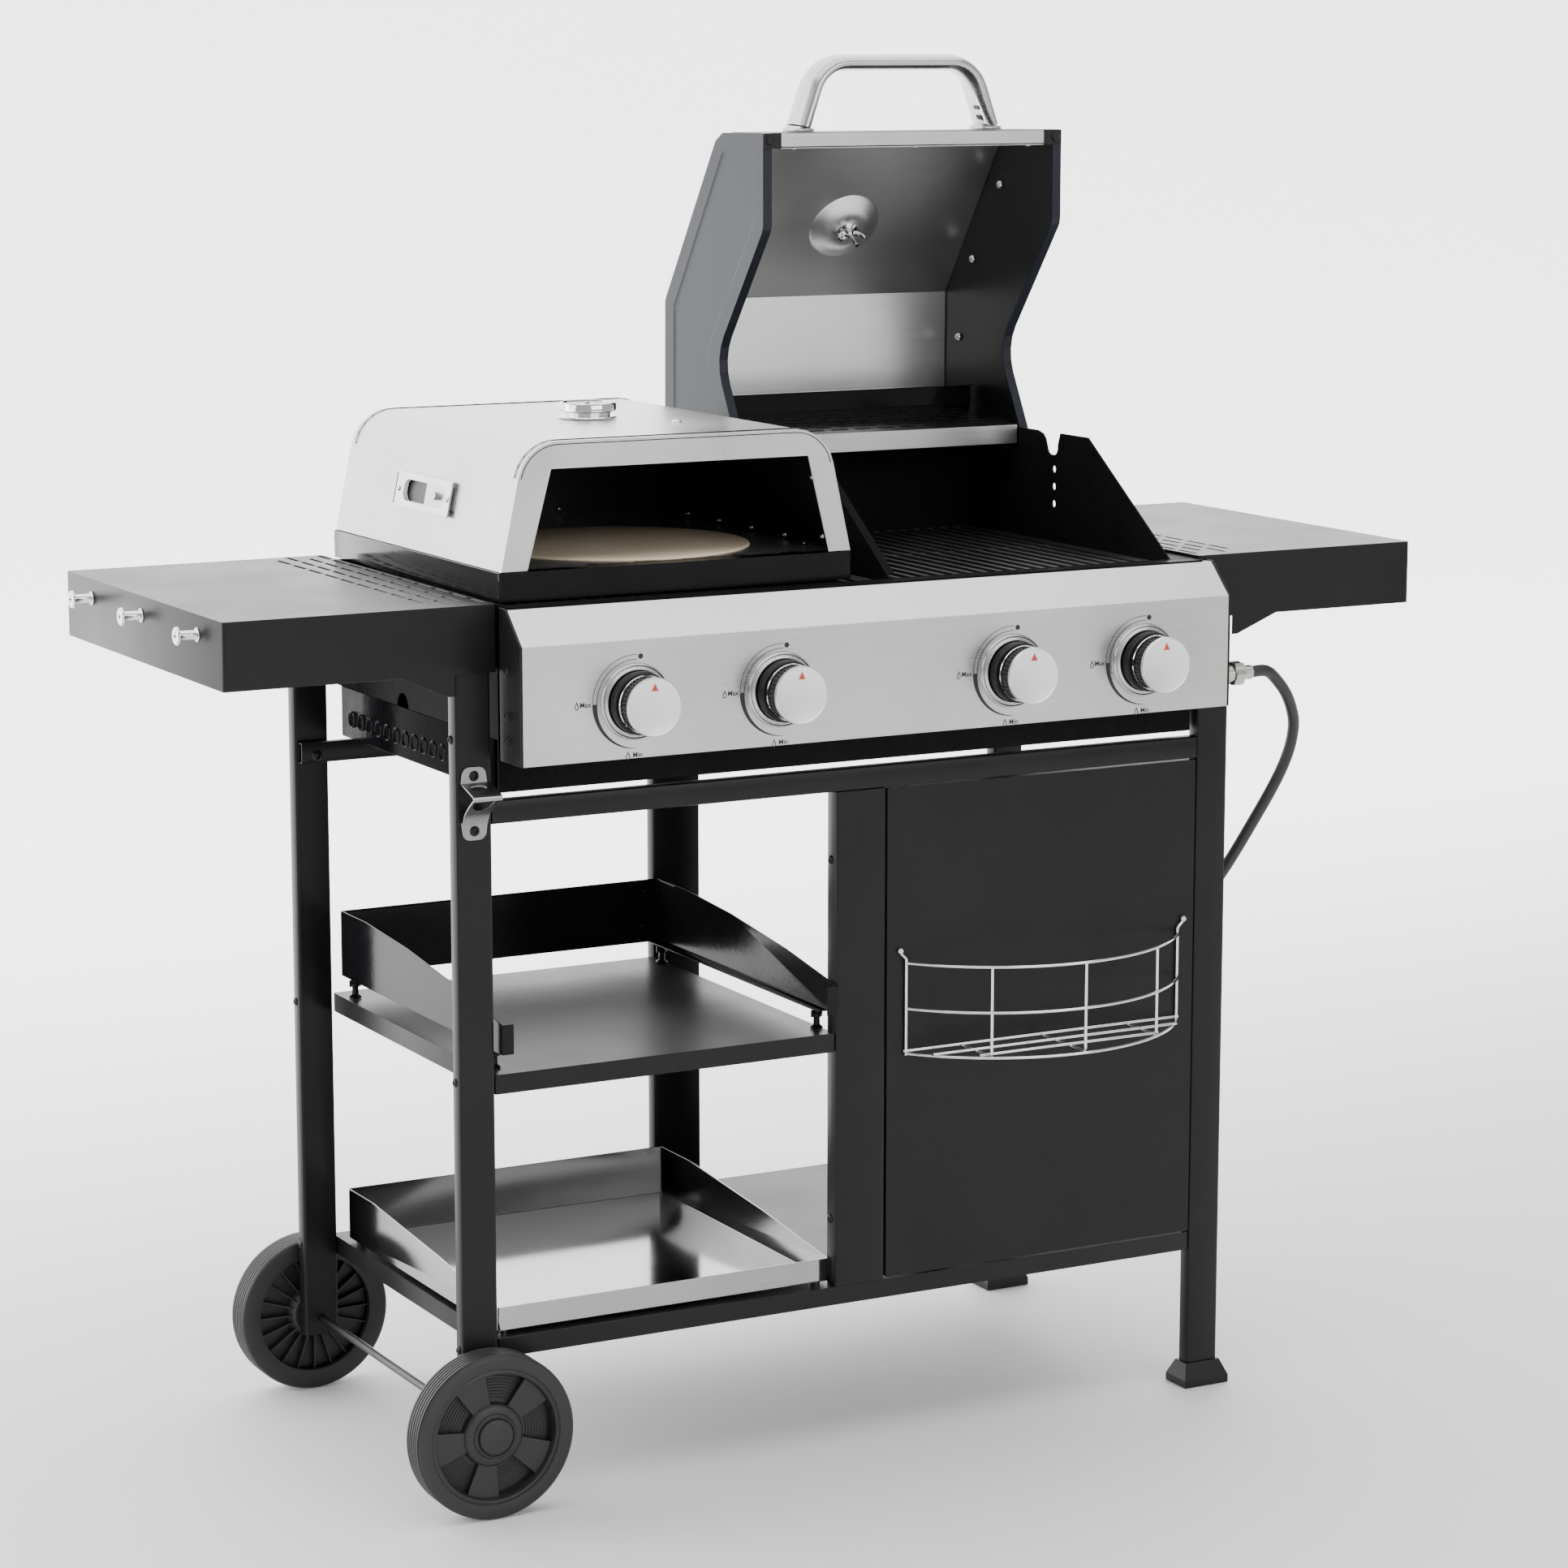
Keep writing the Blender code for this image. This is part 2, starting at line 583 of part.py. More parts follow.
def make_grate(side, x0, x1):
    """Cast bars front to back, in a frame with one cross bar."""
    bar, pitch, depth = 0.006, 0.0165, 0.008
    y0, y1 = 0.008, 0.390
    z0 = GRATE_TOP - depth
    frame = section(f"grate_{side}", rectangle(x0, x1, y0, y1), "Z", z0, GRATE_TOP, 0.008)
    middle = (y0 + y1) / 2
    cross = box(f"grate_{side}_cross", (x0 + 0.002, middle - 0.004, z0 + 0.001),
                (x1 - 0.002, middle + 0.004, GRATE_TOP - 0.001))
    count = round((x1 - x0) / pitch) - 1
    first = (x0 + x1) / 2 - pitch * (count - 1) / 2
    bars = box(f"grate_{side}_bars", (first - bar / 2, y0 + 0.003, z0 + 0.002),
               (first + bar / 2, y1 - 0.003, GRATE_TOP + 0.0005))
    row = bars.modifiers.new("row", "ARRAY")
    row.count = count
    row.use_relative_offset = False
    row.use_constant_offset = True
    row.constant_offset_displace = (pitch, 0, 0)
    finished(join(frame, cross, bars), "cast_iron", origin=((x0 + x1) / 2, middle, z0))


def make_drip_tray():
    outline = rectangle(0.048, 0.812, 0.020, 0.3955, 0.006)
    tray = pan("drip_tray", outline, "Z", 0.690, 0.7405, SHEET)
    finished(tray, "gloss_enamel", origin=(0.430, 0.2, 0.690))


# ---------------------------------------------------------------- lid

def lid_outline():
    return rounded([
        (0.240, 1.290, 0.004), (0.240, 1.194, 0.020), (0.345, 1.058, 0.045), (0.304, 0.983, 0.020),
        (0.290, 0.957, 0.012), (0.295, 0.930, 0.006), (0.462, 0.932, 0.006), (0.460, 1.112, 0.012),
        (0.344, 1.280, 0.012), (0.328, 1.2885, 0.006),
    ])


def make_lid():
    origin = (0.625, HINGE_Y, HINGE_Z)
    profile = [(0.2405, 1.275), (0.2405, 1.290), (0.326, 1.289), (0.344, 1.280), (0.460, 1.112),
               (0.462, 0.940)]
    shell = folded("lid_shell", profile, "X", *LID_X, left=False)
    slope = Vector((0, 0.460 - 0.344, 1.112 - 1.280)).normalized()
    outward = Vector((0, -slope.z, slope.y))
    gauge_spot = Vector((0.634, 0.407, 1.189))
    drill = turned("gauge_hole", [(0.0, 0.02), (0.004, 0.02), (0.004, -0.02), (0.0, -0.02)],
                   gauge_spot, outward, 16)
    finished(cut(shell, drill), "grey_coat", origin=origin)
    gauge = [(0.0, 0.0145), (0.028, 0.0145), (0.030, 0.0130), (0.030, 0.0015), (0.0035, 0.0015),
             (0.0035, -0.010), (0.0075, -0.010), (0.0075, -0.016), (0.0025, -0.016), (0.0025, -0.040),
             (0.0, -0.040)]
    finished(turned("lid_thermometer", gauge, gauge_spot, outward, 20), "stainless")
    for side, rim, face, pin_ends in (
        ("left", LID_X[0] - GAP, LID_X[0] - GAP - LID_SIDE, (0.451, 0.470)),
        ("right", LID_X[1] + GAP, LID_X[1] + GAP + LID_SIDE, (0.799, 0.781)),
    ):
        panel = pan(f"lid_side_{side}", lid_outline(), "X", face, rim, 0.002)
        pin = rod(f"lid_pin_{side}", "X", HINGE_Y, HINGE_Z, HINGE_PIN, *pin_ends, 20)
        finished(join(panel, pin), "grey_coat", origin=(face, HINGE_Y, HINGE_Z), smooth=35)


def make_lid_handle():
    middle, y = 0.625, 0.285
    foot, top = 1.2903, 1.3586
    width, depth = 0.0085, 0.021
    end = foot + 0.0045
    corners = [(middle - 0.1105, end), (middle - 0.088, top, 0.038), (middle + 0.088, top, 0.038),
               (middle + 0.1105, end)]
    route = rounded(corners, 7)
    stretch = depth / width
    bar = wire("lid_handle", [(x, 0, z) for x, z in route], width, 4)
    bar = as_mesh(bar)
    bar.data.transform(Matrix.Translation((0, y, 0)) @ Matrix.Diagonal((1, stretch, 1, 1)))
    for side in (-1, 1):
        collar = rod(f"handle_collar_{side}", "Z", 0, 0, 0.0145, foot, foot + 0.003, 24)
        collar.data.transform(Matrix.Translation((middle + side * 0.1105, y, 0))
                              @ Matrix.Diagonal((1, 0.0218 / 0.0145, 1, 1)))
        join(bar, collar)
    finished(bar, "stainless", smooth=35)


# ---------------------------------------------------------------- cabinet door and basket

def make_door():
    door = pan("door", rectangle(*DOOR_X, *DOOR_Z, 0.001, 1), "Y", 0.0005, 0.016)
    for end, z0, z1 in (("top", 0.655, RAIL_Z[0] + 0.0013), ("bottom", SHELF_TOP - 0.0011, 0.172)):
        join(door, rod(f"door_pin_{end}", "Z", *DOOR_HINGE, DOOR_PIN, z0, z1, 12))
    finished(door, "powder_coat", origin=(*DOOR_HINGE, DOOR_Z[0]))


def make_basket():
    """Bowed wires round the front, uprights that hook over at the ends, and straight wires for a floor."""
    radius = 0.0015
    x0, x1, back = 0.480, 0.800, -0.004
    middle, bow = (x0 + x1) / 2, 0.200
    centre_y = back + math.sqrt(bow ** 2 - (x1 - middle) ** 2)
    top, mid, floor = 0.486, 0.440, 0.3945

    def bowed_y(x):
        return centre_y - math.sqrt(bow ** 2 - (x - middle) ** 2)

    pieces = []
    weld = 0.0022      # between the axes of two wires welded side by side
    half_turn = math.degrees(math.asin((x1 - middle) / bow))
    for number, z in enumerate((top, mid, floor)):
        bend = arc(middle, centre_y, bow, 270 - half_turn, 270 + half_turn, 18)
        pieces.append(wire(f"basket_bow_{number}", [(x, y, z) for x, y in bend], radius))
    for number, x in enumerate((0.546, 0.640, 0.741)):
        front = bowed_y(x) + weld
        line = [(x, front, top + 0.001), (x, front, floor + 0.0001), (x, back + 0.001, floor + 0.0001)]
        pieces.append(wire(f"basket_upright_{number}", line, radius))
    for number, (x, hook_x) in enumerate(((x0 + 0.0007, 0.474), (x1 - 0.0007, 0.806))):
        y = back + 0.0018
        line = [(hook_x, y, 0.4975), (x, y, top + 0.004), (x, y, floor - 0.002)]
        pieces.append(wire(f"basket_hook_{number}", line, radius))
    for number, (share, reach) in enumerate(((0.0, 1.0), (0.33, 0.88), (0.64, 0.64))):
        y = back + 0.0030 + share * (bowed_y(middle) - back)
        half = (x1 - middle) * reach + 0.002
        line = [(middle - half, y, floor + weld), (middle + half, y, floor + weld)]
        pieces.append(wire(f"basket_floor_{number}", line, radius))
    pieces = [as_mesh(piece) for piece in pieces]
    basket = pieces[0]
    basket.name = "basket"
    finished(join(basket, *pieces[1:], solver="MANIFOLD"), "chrome")


# ---------------------------------------------------------------- gas hose

# The hose's centre line, from the inlet round the front right leg to the regulator in the cabinet
HOSE_ROUTE = [
    (0.8697, -0.0220, 0.7510), (0.8880, -0.0220, 0.7510), (0.9020, -0.0190, 0.7420),
    (0.9200, -0.0140, 0.7230), (0.9340, -0.0060, 0.6990), (0.9390, 0.0010, 0.6800),
    (0.9380, 0.0080, 0.6570), (0.9300, 0.0160, 0.6290), (0.9120, 0.0260, 0.5900),
    (0.8817, 0.0380, 0.5354), (0.8480, 0.0520, 0.4850), (0.8080, 0.0700, 0.4280),
    (0.7720, 0.0960, 0.3600), (0.7480, 0.1300, 0.2850), (0.7230, 0.1700, 0.2240),
    (0.6900, 0.2030, 0.2010), (0.6730, 0.2050, 0.1990), (0.6603, 0.2050, 0.1990),
]
HOSE_RADIUS = 0.006


def make_hose():
    finished(wire("hose", smooth_route(HOSE_ROUTE, 0.018), HOSE_RADIUS, 2), "rubber")
    end = HOSE_ROUTE[-1]
    body = [(0.0, 0.066), (0.007, 0.066), (0.0085, 0.050), (0.022, 0.044), (0.0325, 0.040), (0.0325, 0.018),
            (0.020, 0.014), (0.008, 0.012), (0.008, 0.0), (0.0, 0.0)]
    regulator = turned("regulator", body, (end[0] - GAP, end[1], end[2]), (-1, 0, 0), 24)
    finished(regulator, "zinc")


# ---------------------------------------------------------------- pizza oven

def make_oven_base():
    base = section("oven_base", rectangle(*OVEN_X, 0.008, 0.410, 0.004), "Z", *OVEN_BASE_Z, PLATE)
    floor = box("oven_base_floor", (OVEN_X[0] + 0.0007, 0.0087, OVEN_FLOOR - 0.0015),
                (OVEN_X[1] - 0.0007, 0.4093, OVEN_FLOOR))
    join(base, floor)
    for number, (x, y) in enumerate(((0.070, 0.030), (0.404, 0.030), (0.070, 0.380), (0.404, 0.380))):
        join(base, rod(f"oven_foot_{number}", "Z", x, y, 0.007, GRATE_TOP + 0.0008, OVEN_FLOOR - 0.0007, 12))
    finished(base, "gloss_enamel", origin=(0.237, 0.209, GRATE_TOP))


def make_oven_shell():
    low, knee, top = 0.8968, 0.990, 1.0165
    profile = rounded([(0.0535, low), (0.079, top, 0.042), (0.397, top, 0.042), (0.4235, low)], 5)
    shell = pan("oven_shell", profile, "Y", OVEN_Y[1], OVEN_Y[0], SHEET)
    return_face = prism("oven_front", profile, "Y", OVEN_Y[0], OVEN_Y[0] + SHEET)
    mouth = [(0.080, low - 0.001), (0.105, knee + 0.001), (0.377, knee + 0.001), (0.400, low - 0.001)]
    join(shell, return_face)
    cut(shell, prism("oven_mouth", mouth, "Y", OVEN_Y[0] - 0.01, OVEN_Y[0] + 0.01))
    hollow = [(0.0555, low - 0.01), (0.0555, low + 0.0013), (0.4215, low + 0.0013), (0.4215, low - 0.01)]
    cut(shell, prism("oven_underside", hollow, "Y", OVEN_Y[0] + 0.003, OVEN_Y[1] - 0.003))
    cut(shell, rod("oven_gauge_hole", "Z", 0.240, 0.212, 0.004, top - 0.01, top + 0.01, 16))
    slot = rectangle(0.156, 0.254, 0.941, 0.962, 0.010, 4)
    cut(shell, prism("oven_vent_slot", slot, "X", 0.045, 0.085))
    finished(shell, "stainless", origin=(0.237, 0.209, GRATE_TOP))
    gauge = [(0.0, 0.0160), (0.026, 0.0160), (0.028, 0.0150), (0.028, 0.0090), (0.022, 0.0070),
             (0.020, 0.0010),
             (0.0030, 0.0010), (0.0030, -0.035), (0.0, -0.035)]
    finished(turned("oven_thermometer", gauge, (0.240, 0.212, top), (0, 0, 1), 20), "stainless")


def make_vent_shutter():
    """A sliding plate outside the left wall's slot, leaning with the wall."""
    lean = math.atan2(0.079 - 0.0535, 1.0165 - 0.8968)
    plate = prism("oven_vent_shutter", rectangle(-0.030, 0.030, -0.0125, 0.0125, 0.003), "X", -0.001, 0.0)
    knob = rod("shutter_tab", "X", 0.0, 0.0, 0.004, -0.006, -0.0005, 12)
    middle, height = 0.176, 0.9515
    wall_x = 0.0535 + (height - 0.8968) * math.tan(lean)
    place = Matrix.Translation((wall_x - 0.0006, middle, height)) @ Matrix.Rotation(lean, 4, "Y")
    for obj in (plate, knob):
        obj.data.transform(place)
    finished(join(plate, knob), "stainless", origin=(wall_x, middle, height))


def make_stone():
    radius, thickness = 0.133, 0.010
    profile = [(0.0, thickness), (radius - 0.0015, thickness), (radius, thickness - 0.0015), (radius, 0.001),
               (radius - 0.001, 0.0), (0.0, 0.0)]
    finished(turned("pizza_stone", profile, (0.240, 0.156, OVEN_FLOOR + GAP), (0, 0, 1), 40), "stone")


# ---------------------------------------------------------------- loose accessories on the shelves

def make_wind_guard():
    """Three upright walls on four feet; the side walls curve down towards the open front."""
    x0, x1, y0, y1 = 0.042, 0.402, -0.006, 0.388
    low, high = 0.443, 0.510
    line = [(x0 + 0.012, y0), (x0, y0), (x0, y1), (x1, y1), (x1, y0), (x1 - 0.012, y0)]
    guard = folded("wind_guard", line, "Z", low, high, left=False)
    for number, x in enumerate((x0 + 0.0005, x1 - 0.0125)):
        flange = box(f"guard_flange_{number}", (x, y0 + 0.020, low), (x + 0.012, y1 - 0.0005, low + SHEET))
        join(guard, flange)
    for number, (x, y) in enumerate(((0.048, 0.027), (0.396, 0.027), (0.048, 0.367), (0.396, 0.367))):
        join(guard, rod(f"guard_foot_{number}", "Z", x, y, 0.003, MID_SHELF_TOP + GAP, low + 0.0006, 12))
    slope = [(y1 - 0.05, high + 0.001), (0.220, 0.503), (0.100, 0.489), (y0 - 0.01, 0.470),
             (y0 - 0.01, 0.530),
             (y1 - 0.05, 0.530)]
    cut(guard, prism("guard_slope", slope, "X", x0 - 0.01, x1 + 0.01))
    finished(guard, "gloss_enamel", origin=(0.222, 0.191, MID_SHELF_TOP))


def make_griddle():
    x0, x1, y0, y1 = 0.042, 0.402, 0.012, 0.382
    low, high, lip = 0.169, 0.2205, 0.192
    tray = pan("griddle_tray", rectangle(x0, x1, y0, y1, 0.003), "Z", low, high, 0.0015)
    slope = [(0.330, high + 0.001), (0.270, 0.217), (0.150, 0.207), (y0 + 0.004, lip), (y0 - 0.01, lip),
             (y0 - 0.01, 0.240), (0.330, 0.240)]
    cut(tray, prism("griddle_slope", slope, "X", x0 - 0.01, x1 + 0.01))
    for number, (x, y) in enumerate(((0.052, 0.022), (0.392, 0.022), (0.052, 0.372), (0.392, 0.372))):
        join(tray, rod(f"griddle_foot_{number}", "Z", x, y, 0.005, SHELF_TOP + GAP, low + 0.0007, 12))
    finished(tray, "stainless", origin=(0.222, 0.197, SHELF_TOP))


def main():
    clear_scene()
    make_legs()
    make_feet()
    make_columns_and_rails()
    make_shelves()
    make_wheels()
    make_tables()
    make_bottle_opener()
    make_firebox()
    make_rear_shelf()
    make_control_panel()
    make_gas_train()
    make_flame_tamers()
    make_grate("left", 0.050, 0.460)
    make_grate("right", 0.4735, 0.782)
    make_drip_tray()
    make_lid()
    make_lid_handle()
    make_door()
    make_basket()
    make_hose()
    make_oven_base()
    make_oven_shell()
    make_vent_shutter()
    make_stone()
    make_wind_guard()
    make_griddle()


main()
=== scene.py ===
"""The looks of the gas barbecue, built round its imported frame.

Shapes are in cart coordinates, in metres: X runs right from the left legs, Y runs back from the front
legs and Z runs up from the floor. CART moves them into the frame.
"""

import json
import math

import bmesh
import bpy
from mathutils import Matrix, Vector


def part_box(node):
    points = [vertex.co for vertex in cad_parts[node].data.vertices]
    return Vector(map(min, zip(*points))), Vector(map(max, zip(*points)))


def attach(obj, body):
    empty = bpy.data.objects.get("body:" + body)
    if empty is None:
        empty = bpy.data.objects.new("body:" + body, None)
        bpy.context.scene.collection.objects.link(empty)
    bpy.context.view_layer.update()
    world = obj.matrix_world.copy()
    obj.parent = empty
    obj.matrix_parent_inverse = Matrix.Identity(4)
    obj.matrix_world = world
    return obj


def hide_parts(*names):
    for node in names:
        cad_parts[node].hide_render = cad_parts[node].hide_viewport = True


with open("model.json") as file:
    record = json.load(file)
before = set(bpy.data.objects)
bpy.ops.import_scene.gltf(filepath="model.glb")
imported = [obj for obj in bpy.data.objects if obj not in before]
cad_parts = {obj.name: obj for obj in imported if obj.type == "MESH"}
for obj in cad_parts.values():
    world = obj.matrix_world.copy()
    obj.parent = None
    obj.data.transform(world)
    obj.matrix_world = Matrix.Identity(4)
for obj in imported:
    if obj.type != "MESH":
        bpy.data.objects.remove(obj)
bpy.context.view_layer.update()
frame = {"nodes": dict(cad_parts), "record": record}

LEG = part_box("leg_front_left")[0]
CART = Vector((LEG.x, LEG.y, 0.0))
SLOT = {part["node"]: part["material_slot"] for part in frame["record"]["subparts"]}
BODY = {node: body for body, members in frame["record"]["behaviour"]["bodies"].items() for node in members}
WHEEL_X, WHEEL_Z = 0.019, 0.0806
PANEL_Y = -0.05  # the front face of the control panel
KNOB_X = (0.1615, 0.3155, 0.5705, 0.7225)
KNOB_Y, KNOB_Z = -0.0575, 0.777
HOOK_X, HOOK_Z = -0.227, 0.852
LID_LEFT, LID_RIGHT = 0.45, 0.8
LID_GAUGE = Vector((0.634, 0.407, 1.189))
OVEN_GAUGE = Vector((0.24, 0.212, 1.0165))
SCALE_START = 225  # degrees, where the scale of a dial begins
CART_RIGHT = 0.858  # the outer face of the right legs
SCREW_Y = (0.0085, 0.4085)  # on the sides of the front and the rear legs
CAMERA_AT = (-2.0013, -3.78925, 1.397)
CAMERA_YAW, CAMERA_PITCH = math.radians(28.2), math.radians(10.0)
CAMERA_LENS = 98.92


# ---------------------------------------------------------------- finishes

DRIFT_LOW, DRIFT_HIGH = 0.34, 0.66  # the part of the noise that a finish spreads over
GRAIN_DEPTH = 0.0002


def ranged(tree, value, start, end, low, high):
    """A node that maps the range from start to end onto the one from low to high."""
    node = tree.nodes.new("ShaderNodeMapRange")
    for name, number in (("From Min", start), ("From Max", end), ("To Min", low), ("To Max", high)):
        node.inputs[name].default_value = number
    tree.links.new(value, node.inputs["Value"])
    return node


def own_y(tree):
    """Y in the piece's own coordinates."""
    split = tree.nodes.new("ShaderNodeSeparateXYZ")
    tree.links.new(tree.nodes.new("ShaderNodeTexCoord").outputs["Object"], split.inputs["Vector"])
    return split.outputs["Y"]


def look(name, dark, light, rough, metallic=0.0, patch=9.0, grain=(900, 900, 900), bump=0.2,
         fine=0.35, sheen=0.5):
    """A finish whose colour and gloss drift slowly over the piece, with a fine grain on top."""
    material = bpy.data.materials.new(name)
    material.use_nodes = True
    tree = material.node_tree
    shader = tree.nodes["Principled BSDF"]
    place = tree.nodes.new("ShaderNodeTexCoord").outputs["Object"]

    def noise(stretch, detail):
        mapping = tree.nodes.new("ShaderNodeMapping")
        mapping.inputs["Scale"].default_value = stretch
        texture = tree.nodes.new("ShaderNodeTexNoise")
        texture.inputs["Scale"].default_value = 1.0
        texture.inputs["Detail"].default_value = detail
        tree.links.new(place, mapping.inputs["Vector"])
        tree.links.new(mapping.outputs["Vector"], texture.inputs["Vector"])
        return texture.outputs[0]

    def mixed(first, second, share):
        parts = []
        for value, factor in ((first, 1 - share), (second, share)):
            node = tree.nodes.new("ShaderNodeMath")
            node.operation = "MULTIPLY"
            node.inputs[1].default_value = factor
            tree.links.new(value, node.inputs[0])
            parts.append(node.outputs[0])
        total = tree.nodes.new("ShaderNodeMath")
        total.operation = "ADD"
        tree.links.new(parts[0], total.inputs[0])
        tree.links.new(parts[1], total.inputs[1])
        return total.outputs[0]

    drift = noise((patch, patch, patch), 3.0)
    texture = noise(grain, 4.0)
    both = mixed(drift, texture, fine)
    ramp = tree.nodes.new("ShaderNodeValToRGB")
    for stop, position, colour in zip(ramp.color_ramp.elements, (DRIFT_LOW, DRIFT_HIGH), (dark, light)):
        stop.position = position
        stop.color = (*colour, 1.0)
    tree.links.new(both, ramp.inputs["Fac"])
    tree.links.new(ramp.outputs["Color"], shader.inputs["Base Color"])
    gloss = ranged(tree, both, DRIFT_LOW, DRIFT_HIGH, *rough)
    tree.links.new(gloss.outputs["Result"], shader.inputs["Roughness"])
    relief = tree.nodes.new("ShaderNodeBump")
    relief.inputs["Strength"].default_value = bump
    relief.inputs["Distance"].default_value = GRAIN_DEPTH
    tree.links.new(texture, relief.inputs["Height"])
    tree.links.new(relief.outputs["Normal"], shader.inputs["Normal"])
    shader.inputs["Metallic"].default_value = metallic
    shader.inputs["Specular IOR Level"].default_value = sheen
    return material


def darkened(material, start, end, share):
    """Painted shade: the finish with its colour falling to a share of itself from start to end along the
    piece's own Y.
    """
    tree = material.node_tree
    colour = tree.nodes["Principled BSDF"].inputs["Base Color"]
    shade_fall = ranged(tree, own_y(tree), start, end, 1.0, share)
    scaled = tree.nodes.new("ShaderNodeVectorMath")
    scaled.operation = "SCALE"
    tree.links.new(colour.links[0].from_socket, scaled.inputs[0])
    tree.links.new(shade_fall.outputs["Result"], scaled.inputs["Scale"])
    tree.links.new(scaled.outputs["Vector"], colour)
    return material


BRUSH_X = (9, 1100, 1100)
BRUSH_Y = (1100, 9, 1100)
BRUSH_Z = (1100, 1100, 9)
POWDER = look("powder", (0.009, 0.0085, 0.0095), (0.013, 0.0122, 0.0135), (0.3, 0.38), bump=0.16,
              sheen=0.2)
SLATE = look("slate", (0.014, 0.016, 0.022), (0.018, 0.021, 0.029), (0.3, 0.38), bump=0.16, sheen=0.2)
ENAMEL = look("enamel", (0.004, 0.004, 0.005), (0.007, 0.007, 0.008), (0.1, 0.18),
              grain=(160, 160, 160), bump=0.25, sheen=0.16)
SOOT = look("dull_enamel", (0.004, 0.004, 0.005), (0.008, 0.008, 0.009), (0.1, 0.22),
            grain=(90, 90, 90), bump=0.9, sheen=0.004)
PRESSED = look("pressed_enamel", (0.007, 0.007, 0.008), (0.011, 0.011, 0.012), (0.24, 0.34),
               grain=(160, 160, 160), bump=0.3, sheen=0.006)
LINING = look("lining", (0.004, 0.004, 0.005), (0.009, 0.009, 0.01), (0.28, 0.42), bump=0.15)
STEEL = look("steel_long", (0.56, 0.55, 0.54), (0.68, 0.67, 0.66), (0.24, 0.36), 1.0, grain=BRUSH_X,
             patch=5.0, bump=0.1)
STEEL_DEEP = look("steel_deep", (0.58, 0.57, 0.56), (0.7, 0.69, 0.68), (0.24, 0.38), 1.0, grain=BRUSH_Y,
                  patch=6.0, bump=0.1)
STEEL_UP = look("steel_up", (0.46, 0.455, 0.45), (0.56, 0.55, 0.54), (0.2, 0.32), 1.0, grain=BRUSH_Z,
                patch=6.0, bump=0.08)
BRIGHT = look("bright_steel", (0.34, 0.34, 0.34), (0.43, 0.425, 0.42), (0.07, 0.15), 1.0, grain=BRUSH_X,
              patch=4.0, bump=0.06)
LINER = look("liner_steel", (0.74, 0.74, 0.73), (0.84, 0.84, 0.83), (0.3, 0.4), 1.0, grain=BRUSH_X,
             patch=5.0, bump=0.05)
SATIN = look("satin_steel", (0.48, 0.475, 0.47), (0.6, 0.59, 0.58), (0.22, 0.32), 1.0, grain=(400, 400, 400),
             bump=0.05)
GREY_STEEL = look("grey_steel", (0.26, 0.26, 0.255), (0.36, 0.36, 0.35), (0.26, 0.38), 1.0, grain=BRUSH_Z,
                  patch=20.0, bump=0.08)
CAP = look("cap_steel", (0.84, 0.835, 0.83), (0.9, 0.895, 0.89), (0.3, 0.4), 1.0, grain=BRUSH_X,
           patch=12.0, bump=0.05)
AXLE = look("axle_steel", (0.06, 0.06, 0.062), (0.11, 0.11, 0.11), (0.3, 0.42), 1.0, grain=BRUSH_Y, bump=0.1)
CHROME = look("chrome", (0.7, 0.7, 0.7), (0.82, 0.82, 0.82), (0.05, 0.12), 1.0, grain=(300, 300, 300),
              bump=0.03)
ZINC = look("zinc", (0.46, 0.47, 0.42), (0.62, 0.62, 0.56), (0.28, 0.42), 1.0, grain=(500, 500, 500),
            bump=0.15)
IRON = look("cast_iron", (0.008, 0.008, 0.009), (0.02, 0.02, 0.021), (0.4, 0.62), grain=(420, 420, 420),
            bump=0.55)
PLASTIC = look("black_plastic", (0.006, 0.006, 0.007), (0.011, 0.011, 0.012), (0.3, 0.42),
               grain=(700, 700, 700), bump=0.12, sheen=0.25)
TYRE = look("wheel_plastic", (0.011, 0.011, 0.011), (0.018, 0.017, 0.018), (0.42, 0.56),
            grain=(800, 800, 800), bump=0.25)
RUBBER = look("hose_rubber", (0.012, 0.012, 0.013), (0.02, 0.02, 0.021), (0.36, 0.5),
              grain=(900, 900, 900), bump=0.25)
STONE = look("stone", (0.74, 0.6, 0.42), (0.88, 0.75, 0.56), (0.74, 0.9), patch=14.0,
             grain=(1500, 1500, 1500), bump=0.45, fine=0.55)
INK = look("printed_black", (0.01, 0.01, 0.01), (0.016, 0.016, 0.016), (0.4, 0.5))
RED = look("printed_red", (0.5, 0.03, 0.03), (0.6, 0.05, 0.04), (0.35, 0.45))
WHITE = look("printed_white", (0.74, 0.74, 0.73), (0.82, 0.82, 0.8), (0.4, 0.5))
DIAL = look("dial_face", (0.7, 0.69, 0.66), (0.78, 0.77, 0.75), (0.35, 0.45))
SLOT_LOOK = {
    "powder_coat": POWDER, "grey_coat": SLATE, "gloss_enamel": ENAMEL, "stainless": STEEL, "chrome": CHROME,
    "zinc": ZINC, "cast_iron": IRON, "wheel_plastic": TYRE, "foot_plastic": PLASTIC, "hose_rubber": RUBBER,
    "stone": STONE,
}


# ---------------------------------------------------------------- outlines and places

